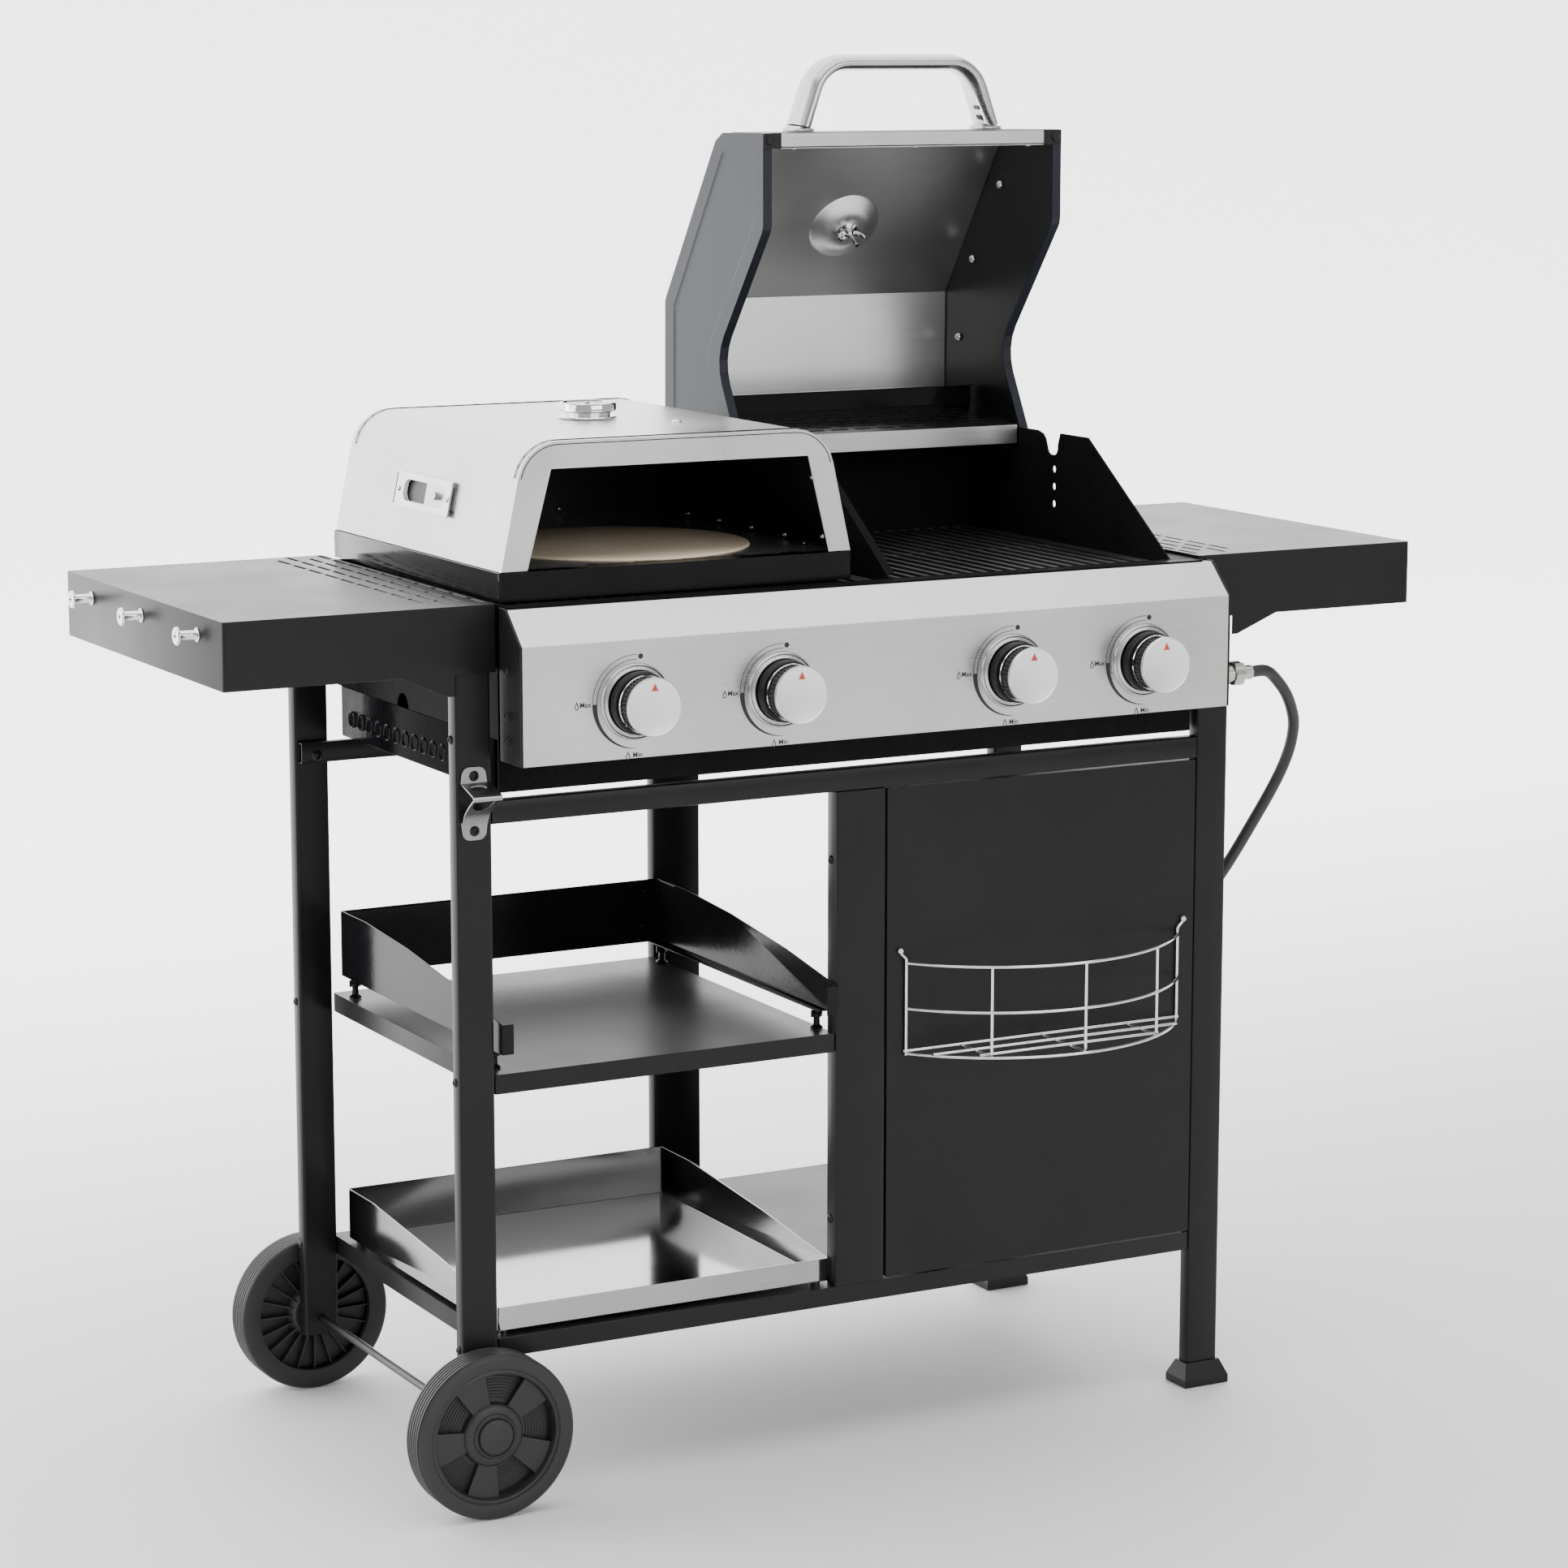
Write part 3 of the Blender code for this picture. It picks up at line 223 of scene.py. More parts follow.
def rounded(points, steps=6):
    """The outline with an arc at each point that gives a radius as its third value."""
    result = []
    for index, point in enumerate(points):
        if len(point) < 3:
            result.append(tuple(point))
            continue
        corner = Vector(point[:2])
        before = (Vector(points[index - 1][:2]) - corner).normalized()
        after = (Vector(points[(index + 1) % len(points)][:2]) - corner).normalized()
        half = before.angle(after) / 2
        centre = corner + (before + after).normalized() * point[2] / math.sin(half)
        start = corner + before * point[2] / math.tan(half) - centre
        end = corner + after * point[2] / math.tan(half) - centre
        turn = start.angle_signed(end)
        for step in range(steps + 1):
            arm = start.copy()
            arm.rotate(Matrix.Rotation(-turn * step / steps, 2))
            result.append(tuple(centre + arm))
    return result


def rectangle(a0, a1, b0, b1, radius=0.0, steps=4):
    corners = [(a0, b0), (a1, b0), (a1, b1), (a0, b1)]
    return rounded([(a, b, radius) for a, b in corners], steps) if radius else corners


def circle(a, b, radius, sides=32, start=0.0):
    turns = [start + 2 * math.pi * side / sides for side in range(sides)]
    return [(a + radius * math.cos(turn), b + radius * math.sin(turn)) for turn in turns]


def arc(a, b, radius, start, end, steps):
    turns = [math.radians(start + (end - start) * step / steps) for step in range(steps + 1)]
    return [(a + radius * math.cos(turn), b + radius * math.sin(turn)) for turn in turns]


def inset(outline, distance):
    """The closed outline moved to its inner side; the outline may run either way round."""
    points = [Vector(point) for point in outline]
    points = [p for i, p in enumerate(points) if (p - points[i - 1]).length > 1e-6]
    area = sum(a.x * b.y - b.x * a.y for a, b in zip(points, points[1:] + points[:1]))
    side = 1 if area > 0 else -1
    result = []
    for before, point, after in zip(points[-1:] + points[:-1], points, points[1:] + points[:1]):
        first = (point - before).normalized()
        second = (after - point).normalized()
        normal = Vector((-first.y - second.y, first.x + second.x)).normalized()
        reach = distance / max(0.35, normal.dot(Vector((-first.y, first.x))))
        result.append(tuple(point + normal * reach * side))
    return result


def spot(axis, a, b, along):
    """Cart point of an outline point: outlines are (y, z) across X, (x, z) across Y and (x, y) across Z."""
    return {"X": Vector((along, a, b)), "Y": Vector((a, along, b)), "Z": Vector((a, b, along))}[axis]


def placed(point, degrees, axis):
    """The place at the point, turned round its own axis."""
    return Matrix.Translation(point) @ Matrix.Rotation(math.radians(degrees), 4, axis)


def facing(origin, direction):
    """The place at the origin whose Z runs along the direction."""
    return Matrix.Translation(origin) @ Vector(direction).to_track_quat("Z", "Y").to_matrix().to_4x4()


# ---------------------------------------------------------------- pieces

BEVEL_ANGLE = math.radians(30)  # edges that turn less than this stay as they are
FLAT_ANGLE = math.radians(1.0)  # faces that turn less than this are one face
SAME_POINT = 0.00001
LETTER_DEPTH = 0.0001


def linked(obj):
    """The object, put in the scene."""
    bpy.context.scene.collection.objects.link(obj)
    return obj


def shaded(obj, smooth):
    """Smooth shading, with a sharp edge where faces turn more than so many degrees."""
    obj.data.shade_smooth()
    obj.data.set_sharp_from_angle(angle=math.radians(smooth))


def shown(obj, finish, body, nodes=(), bevel=0.0, smooth=35, segments=2):
    """Makes obj a piece on the body, which stands in for the nodes."""
    linked(obj)
    obj.data.materials.clear()
    obj.data.materials.append(finish)
    if obj.type == "MESH":
        shaded(obj, smooth)
        if bevel:
            modifier = obj.modifiers.new("edge", "BEVEL")
            modifier.width = bevel
            modifier.segments = segments
            modifier.limit_method = "ANGLE"
            modifier.angle_limit = BEVEL_ANGLE
            modifier.harden_normals = True
    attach(obj, body)
    if nodes:
        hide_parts(*nodes)
    return obj


class Build:
    """Simple solids gathered in one mesh."""

    def __init__(self, place=None):
        self.bm = bmesh.new()
        self.place = Matrix.Translation(CART) @ (place or Matrix())

    def ring(self, points):
        return [self.bm.verts.new(self.place @ Vector(point)) for point in points]

    def bridge(self, first, second):
        for index in range(len(first)):
            self.bm.faces.new((first[index - 1], first[index], second[index], second[index - 1]))

    def loft(self, *sections):
        """A closed solid through sections that have the same number of points."""
        rings = [self.ring(points) for points in sections]
        for first, second in zip(rings, rings[1:]):
            self.bridge(first, second)
        self.bm.faces.new(rings[0])
        self.bm.faces.new(rings[-1])
        return self

    def prism(self, outline, axis, start, end):
        return self.loft(*([spot(axis, a, b, along) for a, b in outline] for along in (start, end)))

    def box(self, low, high):
        return self.prism(rectangle(low[0], high[0], low[1], high[1]), "Z", low[2], high[2])

    def rod(self, axis, a, b, radius, start, end, sides=24):
        return self.prism(circle(a, b, radius, sides), axis, start, end)

    def frame(self, outer, inner, axis, start, end):
        """A plate with a window; both outlines have the same number of points."""
        rings = [self.ring([spot(axis, a, b, along) for a, b in line])
                 for line, along in ((outer, start), (outer, end), (inner, end), (inner, start))]
        for first, second in zip(rings, rings[1:] + rings[:1]):
            self.bridge(first, second)
        return self

    def sheet(self, profile, axis, start, end, wall):
        """Folded sheet along an open profile, its thickness on the left of the way it runs."""
        points = [Vector(point) for point in profile]
        back = []
        for index, point in enumerate(points):
            before = (point - points[index - 1]).normalized() if index else None
            after = (points[index + 1] - point).normalized() if index + 1 < len(points) else before
            before = before or after
            normal = Vector((-before.y - after.y, before.x + after.x)).normalized()
            back.append(tuple(point + normal * wall / max(0.3, normal.dot(Vector((-before.y, before.x))))))
        return self.prism(list(profile) + back[::-1], axis, start, end)

    def turned(self, profile, origin, direction, steps=48):
        """The (radius, height) profile turned round the direction."""
        turn = facing(origin, direction)
        angles = [math.radians(360.0 * step / steps) for step in range(steps)]
        rows = []
        for radius, height in profile:
            spots = [(radius * math.cos(a), radius * math.sin(a), height) for a in angles]
            rows.append(self.ring([turn @ Vector(s) for s in (spots if radius > 1e-6 else spots[:1])]))
        for first, second in zip(rows, rows[1:]):
            if len(first) == 1 and len(second) == 1:
                continue
            if len(first) == 1 or len(second) == 1:
                tip, rim = (first[0], second) if len(first) == 1 else (second[0], first)
                for index in range(len(rim)):
                    self.bm.faces.new((tip, rim[index - 1], rim[index]))
            else:
                self.bridge(first, second)
        return self

    def tube(self, points, radius, sides=10):
        """A round wire along the points; radius may be one number or a number for each point."""
        points = [Vector(point) for point in points]
        radii = radius if isinstance(radius, (list, tuple)) else [radius] * len(points)
        runs = [(b - a).normalized() for a, b in zip(points, points[1:])]
        runs = [runs[0]] + [(a + b).normalized() for a, b in zip(runs, runs[1:])] + [runs[-1]]
        normal = runs[0].orthogonal().normalized()
        sections = []
        for point, run, size in zip(points, runs, radii):
            normal = (normal - run * normal.dot(run)).normalized()
            across = run.cross(normal)
            sections.append([
                point + (normal * math.cos(turn) + across * math.sin(turn)) * size
                for turn in (2 * math.pi * side / sides for side in range(sides))
            ])
        return self.loft(*sections)

    def screw(self, origin, direction, radius):
        """A domed head with a recess in its middle."""
        height = radius * 0.55
        return self.turned([(0.0, height * 0.45), (radius * 0.28, height * 0.45), (radius * 0.4, height),
                            (radius * 0.62, height * 0.9), (radius * 0.88, height * 0.55), (radius, 0.0),
                            (radius * 0.9, -height * 0.3), (0.0, -height * 0.3)], origin, direction, 20)

    def made(self, name):
        """The object that holds the solids; the build ends here."""
        bmesh.ops.recalc_face_normals(self.bm, faces=self.bm.faces)
        mesh = bpy.data.meshes.new(name)
        self.bm.to_mesh(mesh)
        self.bm.free()
        return bpy.data.objects.new(name, mesh)

    def piece(self, name, finish, body, slot, nodes=(), bevel=0.0, smooth=35):
        return shown(self.made(name), finish, body, nodes, bevel, smooth)


def carve(obj, build, smooth=35):
    """Takes the build's solids out of obj."""
    cutter = linked(build.made("cutter"))
    modifier = obj.modifiers.new("cut", "BOOLEAN")
    modifier.operation = "DIFFERENCE"
    modifier.object = cutter
    modifier.solver = "EXACT"
    while obj.modifiers[0] != modifier:
        obj.modifiers.move(len(obj.modifiers) - 1, 0)
    others = [m for m in obj.modifiers if m != modifier]
    for other in others:
        other.show_viewport = False
    bpy.context.view_layer.update()
    graph = bpy.context.evaluated_depsgraph_get()
    carved = bpy.data.meshes.new_from_object(obj.evaluated_get(graph))
    obj.modifiers.remove(modifier)
    obj.data = carved
    for other in others:
        other.show_viewport = True
    bpy.data.objects.remove(cutter)
    shaded(obj, smooth)


def carried(node, finish=None, bevel=0.0006, smooth=35, segments=2):
    """The node's own shape with its flat faces made whole and its edges rounded."""
    bm = bmesh.new()
    bm.from_mesh(frame["nodes"][node].data)
    bmesh.ops.remove_doubles(bm, verts=bm.verts, dist=SAME_POINT)
    bmesh.ops.dissolve_limit(bm, angle_limit=FLAT_ANGLE, verts=bm.verts, edges=bm.edges)
    mesh = bpy.data.meshes.new(f"{node}_skin")
    bm.to_mesh(mesh)
    bm.free()
    slot = SLOT[node]
    obj = bpy.data.objects.new(f"{node}_skin", mesh)
    return shown(obj, finish or SLOT_LOOK[slot], BODY[node], (node,), bevel, smooth, segments)


def evened(obj):
    """Shades each large flat of a bevelled piece as one plane."""
    obj.modifiers["edge"].harden_normals = False
    even = obj.modifiers.new("even", "WEIGHTED_NORMAL")
    even.keep_sharp = True
    even.weight = 100


def text(name, words, size, place, body):
    """Raised lettering in black, centred on the place's origin and facing its Z."""
    curve = bpy.data.curves.new(name, "FONT")
    curve.body = words
    curve.size = size
    curve.align_x = "CENTER"
    curve.align_y = "CENTER"
    curve.extrude = LETTER_DEPTH / 2
    curve.resolution_u = 4
    curve.offset = size * 0.018
    maker = linked(bpy.data.objects.new(name + "_maker", curve))
    bpy.context.view_layer.update()
    mesh = bpy.data.meshes.new_from_object(maker.evaluated_get(bpy.context.evaluated_depsgraph_get()))
    bpy.data.objects.remove(maker)
    mesh.transform(Matrix.Translation(CART) @ place)
    shown(bpy.data.objects.new(name, mesh), INK, body)


# ---------------------------------------------------------------- stage, camera and light

def make_stage():
    reach, edge, bend, height, floor = 30.0, 4.0, 4.0, 14.0, -0.0004
    profile = [(-reach, floor), (0.5, floor)]
    profile += [(edge + bend * math.sin(turn), bend - bend * math.cos(turn) + floor)
                for turn in (math.radians(90 * step / 24) for step in range(25))]
    profile.append((edge + bend, height))
    bm = bmesh.new()
    rows = [[bm.verts.new((x, y, z)) for x in (-reach, reach)] for y, z in profile]
    for first, second in zip(rows, rows[1:]):
        bm.faces.new((first[0], first[1], second[1], second[0]))
    mesh = bpy.data.meshes.new("sweep")
    bm.to_mesh(mesh)
    bm.free()
    mesh.shade_smooth()
    sweep = linked(bpy.data.objects.new("sweep", mesh))
    paint = look("sweep_paint", (0.8, 0.8, 0.8), (0.83, 0.83, 0.83), (0.6, 0.7), patch=0.6,
                 grain=(40, 40, 40), bump=0.02)
    mesh.materials.append(paint)
    tree = paint.node_tree
    shader = tree.nodes["Principled BSDF"]
    glow = ranged(tree, own_y(tree), 0.0, 3.0, 0.0, 2.6)
    glow.interpolation_type = "SMOOTHSTEP"
    tree.links.new(glow.outputs["Result"], shader.inputs["Emission Strength"])
    shader.inputs["Emission Color"].default_value = (1.0, 1.0, 1.0, 1.0)

    camera = linked(bpy.data.objects.new("camera", bpy.data.cameras.new("camera")))
    camera.data.lens = CAMERA_LENS
    camera.data.sensor_width = 36.0
    camera.location = CAMERA_AT
    level = math.cos(CAMERA_PITCH)
    ahead = Vector((math.sin(CAMERA_YAW) * level, math.cos(CAMERA_YAW) * level, -math.sin(CAMERA_PITCH)))
    camera.rotation_mode = "QUATERNION"
    camera.rotation_quaternion = ahead.to_track_quat("-Z", "Y")
    bpy.context.scene.camera = camera

    world = bpy.data.worlds.new("studio")
    world.use_nodes = True
    background = world.node_tree.nodes["Background"]
    background.inputs["Color"].default_value = (1.0, 1.0, 1.0, 1.0)
    background.inputs["Strength"].default_value = 0.6
    bpy.context.scene.world = world
    for name, place, aim, size, power in (
        ("overhead", (0.0, 0.0, 4.4), (0.0, 0.0, 0.0), (6.0, 5.0), 200.0),
        ("left", (-4.2, 0.8, 1.8), (0.0, 0.2, 0.8), (4.0, 3.0), 130.0),
        ("front", (1.2, -6.0, 2.6), (0.0, 0.0, 0.7), (5.0, 2.4), 130.0),
    ):
        lamp = bpy.data.lights.new(name, "AREA")
        lamp.shape = "RECTANGLE"
        lamp.size, lamp.size_y = size
        lamp.energy = power
        holder = linked(bpy.data.objects.new(name, lamp))
        holder.location = place
        holder.rotation_mode = "QUATERNION"
        holder.rotation_quaternion = (Vector(aim) - Vector(place)).to_track_quat("-Z", "Y")
        holder.visible_camera = False


# ---------------------------------------------------------------- gas hose

HOSE_ROUTE = [
    (0.8697, -0.022, 0.751), (0.888, -0.022, 0.751), (0.902, -0.019, 0.742),
    (0.92, -0.014, 0.723), (0.934, -0.006, 0.699), (0.939, 0.001, 0.68),
    (0.938, 0.008, 0.657), (0.93, 0.016, 0.629),
    (0.912, 0.026, 0.59), (0.8817, 0.038, 0.5354), (0.848, 0.052, 0.485), (0.808, 0.07, 0.428),
    (0.772, 0.096, 0.36), (0.748, 0.13, 0.285), (0.723, 0.17, 0.224), (0.69, 0.203, 0.201),
    (0.673, 0.205, 0.199), (0.6603, 0.205, 0.199),
]
HOSE_RADIUS = 0.006


def smooth_route(points, spacing):
    """Points at an even spacing on a Catmull-Rom curve through the route's points."""
    route = [Vector(point) for point in points]
    route = [2 * route[0] - route[1]] + route + [2 * route[-1] - route[-2]]
    fine = []
    for a, b, c, d in zip(route, route[1:], route[2:], route[3:]):
        for step in range(20):
            t = step / 20
            fine.append(0.5 * (2 * b + (c - a) * t + (2 * a - 5 * b + 4 * c - d) * t * t
                               + (3 * b - a - 3 * c + d) * t ** 3))
    fine.append(route[-2])
    even = [fine[0]]
    for point in fine:
        if (point - even[-1]).length >= spacing:
            even.append(point)
    if (fine[-1] - even[-1]).length < spacing / 2:
        even.pop()
    return even + [fine[-1]]


def make_hose():
    line = [point + CART for point in smooth_route(HOSE_ROUTE, 0.006)]
    curve = bpy.data.curves.new("gas_hose", "CURVE")
    curve.dimensions = "3D"
    curve.bevel_depth = HOSE_RADIUS
    curve.bevel_resolution = 6
    curve.use_fill_caps = True
    spline = curve.splines.new("POLY")
    spline.points.add(len(line) - 1)
    for point, place in zip(spline.points, line):
        point.co = (*place, 1.0)
    spline.use_smooth = True
    hose = shown(bpy.data.objects.new("gas_hose", curve), RUBBER, "cart", ("hose",))
    end = HOSE_ROUTE[-1]
    origin = (end[0] - 0.0003, end[1], end[2])
    body = Build()
    body.turned([(0.0, 0.066), (0.0055, 0.066), (0.007, 0.065), (0.007, 0.0535), (0.0085, 0.05),
                 (0.015, 0.0475), (0.022, 0.045), (0.03, 0.0415), (0.0318, 0.04), (0.0325, 0.038),
                 (0.0325, 0.033), (0.03, 0.0325), (0.03, 0.0305), (0.0325, 0.03), (0.0325, 0.02),
                 (0.031, 0.018), (0.02, 0.014), (0.009, 0.0125), (0.008, 0.0115), (0.008, 0.0),
                 (0.0, 0.0)], origin, (-1, 0, 0), 64)
    body.prism(circle(end[1], end[2], 0.0105, 6), "X", origin[0] - 0.0105, origin[0] - 0.0025)
    for turn in range(6):
        angle = math.radians(60 * turn + 30)
        body.screw((origin[0] - 0.018, end[1] + 0.027 * math.cos(angle), end[2] + 0.027 * math.sin(angle)),
                   (1, 0, 0), 0.0026)
    body.piece("regulator_body", ZINC, "cart", "zinc", ("regulator",), bevel=0.0004)
    inlet = Build()
    nut_end = 0.8568
    inlet.prism(circle(-0.022, 0.751, 0.0122, 6, 0.3), "X", 0.8455, nut_end)
    inlet.turned([(0.0, 0.0), (0.0074, 0.0), (0.0078, 0.001), (0.0074, 0.002), (0.0071, 0.0022),
                  (0.0071, 0.005), (0.0066, 0.0055), (0.0071, 0.006), (0.0071, 0.0088), (0.0066, 0.0093),
                  (0.0071, 0.0098), (0.0073, 0.0115), (0.0068, 0.0122), (0.0, 0.0122)],
                 (nut_end, -0.022, 0.751), (1, 0, 0), 32)
    inlet.piece("inlet_fitting", ZINC, "cart", "zinc", bevel=0.0004)


# ---------------------------------------------------------------- wheels

def make_wheel(end, y, outward):
    """Local heights run from the inner face at 0 to the outer face at 33 mm."""
    origin, axis = (WHEEL_X, y, WHEEL_Z), (0, outward, 0)
    name = f"wheel_{end}"
    tread = [(0.0766, 0.0), (0.079, 0.001), (0.08, 0.0024)]
    for groove in range(6):
        low = 0.0035 + groove * 0.0045
        tread += [(0.0806, low), (0.0806, low + 0.0024), (0.0788, low + 0.003), (0.0788, low + 0.004)]
    tread += [(0.0803, 0.0308), (0.079, 0.0322), (0.0766, 0.033)]
    tyre = Build()
    tyre.turned([(0.06, 0.006), (0.0608, 0.001), (0.064, 0.0002)] + tread
                + [(0.07, 0.0328), (0.0668, 0.0322), (0.066, 0.0312), (0.0646, 0.0314), (0.0634, 0.0322),
                   (0.0622, 0.0318), (0.0612, 0.03), (0.0604, 0.02), (0.06, 0.015)],
                origin, axis, 96)
    tyre.piece(f"{name}_tyre", TYRE, name, "wheel_plastic", (name,), smooth=30)
    hub = Build()
    ridges = []
    radius = 0.035
    while radius < 0.057:
        ridges += [(radius, 0.019), (radius + 0.0006, 0.0197), (radius + 0.0012, 0.0197),
                   (radius + 0.0018, 0.019)]
        radius += 0.003
    hub.turned([(0.0044, 0.0012), (0.022, 0.001), (0.0235, 0.0022), (0.029, 0.0118), (0.0605, 0.012),
                (0.0612, 0.0135), (0.0612, 0.0185), (0.06, 0.019)] + ridges[::-1]
               + [(0.0315, 0.019), (0.0308, 0.0235), (0.03, 0.025), (0.028, 0.0264), (0.0235, 0.0276),
                  (0.0222, 0.0276), (0.0216, 0.029), (0.0206, 0.0298), (0.0192, 0.0298), (0.0188, 0.0285),
                  (0.0178, 0.0285), (0.0176, 0.0305), (0.0168, 0.0318), (0.015, 0.0324), (0.0, 0.0327)],
               origin, axis, 72)
    turn = facing(origin, axis)
    hub.piece(f"{name}_hub", TYRE, name, "wheel_plastic", smooth=30)
    spokes = Build(turn)
    for spoke in range(5):
        middle = 38 + 72 * spoke + (4 if end == "front" else 0)
        inner = arc(0, 0, 0.03, middle - 19, middle + 19, 6)
        outer = arc(0, 0, 0.0612, middle + 16, middle - 16, 8)
        spokes.loft([(a, b, 0.0185) for a, b in inner + outer],
                    [(a, b, 0.024) for a, b in inner] + [(a, b, 0.0262) for a, b in outer])
    spokes.piece(f"{name}_spokes", TYRE, name, "wheel_plastic", bevel=0.0007)
    ribs = Build(turn)
    for rib in range(20):
        angle = math.radians(18 * rib)
        side = Vector((-math.sin(angle), math.cos(angle), 0)) * 0.0009
        out = Vector((math.cos(angle), math.sin(angle), 0))
        corners = [out * 0.0235 - side, out * 0.0602 - side, out * 0.0602 + side, out * 0.0235 + side]
        ribs.loft([c + Vector((0, 0, z)) for c, z in zip(corners, (0.003, 0.005, 0.005, 0.003))],
                  [c + Vector((0, 0, 0.0125)) for c in corners])
    ribs.piece(f"{name}_ribs", TYRE, name, "wheel_plastic", bevel=0.0003)


# ---------------------------------------------------------------- knobs and the control panel

def flame(build, x, z, size, y0, y1):
    """A little flame outline, as on a gas control."""
    shape = [(0.0, 0.5), (0.1, 0.25), (0.24, 0.0), (0.28, -0.22), (0.18, -0.42), (0.0, -0.5), (-0.18, -0.42),
             (-0.27, -0.2), (-0.2, 0.02), (-0.08, 0.2)]
    outer = [(x + a * size, z + b * size) for a, b in shape]
    inner = [(x + a * size * 0.62, z + (b * 0.62 - 0.08) * size) for a, b in shape]
    build.frame(outer, inner, "Y", y0, y1)


def make_knob(number, x):
    body = f"knob_{number}"
    origin, out = (x, KNOB_Y, KNOB_Z), (0, -1, 0)
    base = Build()
    base.turned([(0.0034, 0.0002), (0.0285, 0.0002), (0.0296, 0.001), (0.0296, 0.0078), (0.0288, 0.009),
                 (0.0276, 0.0094), (0.0264, 0.0094), (0.0264, 0.0145), (0.0256, 0.015), (0.0253, 0.015),
                 (0.0253, 0.0295), (0.025, 0.03), (0.0034, 0.03)], origin, out, 72)
    for rib in range(40):
        angle = math.radians(9 * rib)
        across, up = x + 0.0253 * math.cos(angle), KNOB_Z + 0.0253 * math.sin(angle)
        base.tube([(across, KNOB_Y - 0.0175, up), (across, KNOB_Y - 0.03, up)], 0.0009, 6)
    base.piece(f"{body}_skirt", PLASTIC, body, "stainless", (body,), smooth=30)
    band = Build().turned([(0.0258, 0.0142), (0.0273, 0.0142), (0.0277, 0.015), (0.0273, 0.0158),
                           (0.0258, 0.0158)], origin, out, 64)
    band.piece(f"{body}_band", CHROME, body, "stainless")
    cap = Build()
    cap.turned([(0.0252, 0.0295), (0.0274, 0.0295), (0.0277, 0.0302), (0.0277, 0.0327), (0.0273, 0.0336),
                (0.0265, 0.034), (0.026, 0.0338), (0.0256, 0.0337), (0.0, 0.0336)], origin, out, 72)
    cap.piece(f"{body}_cap", CAP, body, "stainless", smooth=30)
    face = KNOB_Y - 0.03362
    tip, low, half = KNOB_Z + 0.0225, KNOB_Z + 0.0152, 0.0036
    for name, finish, beside, below, above, proud in (
        ("mark_rim", WHITE, 0.0009, 0.0006, 0.0014, 0.0001),
        ("mark", RED, 0.0, 0.0, 0.0, 0.00018),
    ):
        outline = [(x - half - beside, low - below), (x + half + beside, low - below), (x, tip + above)]
        mark = Build().prism(outline, "Y", face - proud, face + 0.0005)
        mark.piece(f"{body}_{name}", finish, body, "stainless")


def make_panel():
    carried("control_panel", STEEL, bevel=0.0005)
    bezels, ink = Build(), Build()
    y0, y1 = PANEL_Y - 0.00012, PANEL_Y + 0.0004
    narrow, wide, line_width = 0.0393, 0.0438, 0.0006
    for number, x in enumerate(KNOB_X, start=1):
        bezels.turned([(0.03, -0.0002), (0.03, 0.004), (0.0306, 0.0048), (0.0314, 0.0046),
                       (0.0322, 0.003), (0.0328, 0.0026), (0.0336, 0.0028), (0.0346, 0.0036),
                       (0.0354, 0.0032), (0.0362, 0.0014), (0.0366, -0.0002)],
                      (x, PANEL_Y, KNOB_Z), (0, -1, 0), 72)
        ink.turned([(0.0299, 0.0003), (0.012, 0.0003), (0.012, -0.0003), (0.0299, -0.0003)],
                   (x, PANEL_Y, KNOB_Z), (0, -1, 0), 40)
        for radius in (narrow, wide):
            line = arc(x, KNOB_Z, radius, 87, 180, 20)
            back = arc(x, KNOB_Z, radius + line_width, 180, 87, 20)
            ink.prism(line + back, "Y", y0, y1)
        outer = arc(x, KNOB_Z, wide + line_width, 180, 272, 24)
        inner = [(x + r * math.cos(math.radians(a)), KNOB_Z + r * math.sin(math.radians(a)))
                 for r, a in ((narrow + 0.0048 * (a - 180) / 92, a) for a in range(272, 179, -4))]
        ink.prism(outer + inner, "Y", y0, y1)
        ink.prism(circle(x + 0.0058, KNOB_Z + 0.0422, 0.0026, 20), "Y", y0, y1)
        flame(ink, x - 0.0605, KNOB_Z, 0.0085, y0, y1)
        flame(ink, x - 0.008, KNOB_Z - 0.0505, 0.0085, y0, y1)
        for words, dx, dz in (("Max", -0.0515, 0.0), ("Min", 0.002, -0.0505)):
            place = placed((x + dx, PANEL_Y - 0.00006, KNOB_Z + dz), 90, "X")
            text(f"{words.lower()}_{number}", words, 0.0068, place, "cart")
        make_knob(number, x)
    bezels.piece("bezels", SATIN, "cart", "chrome", smooth=50)
    ink.piece("scales", INK, "cart", "stainless")


# ---------------------------------------------------------------- side tables

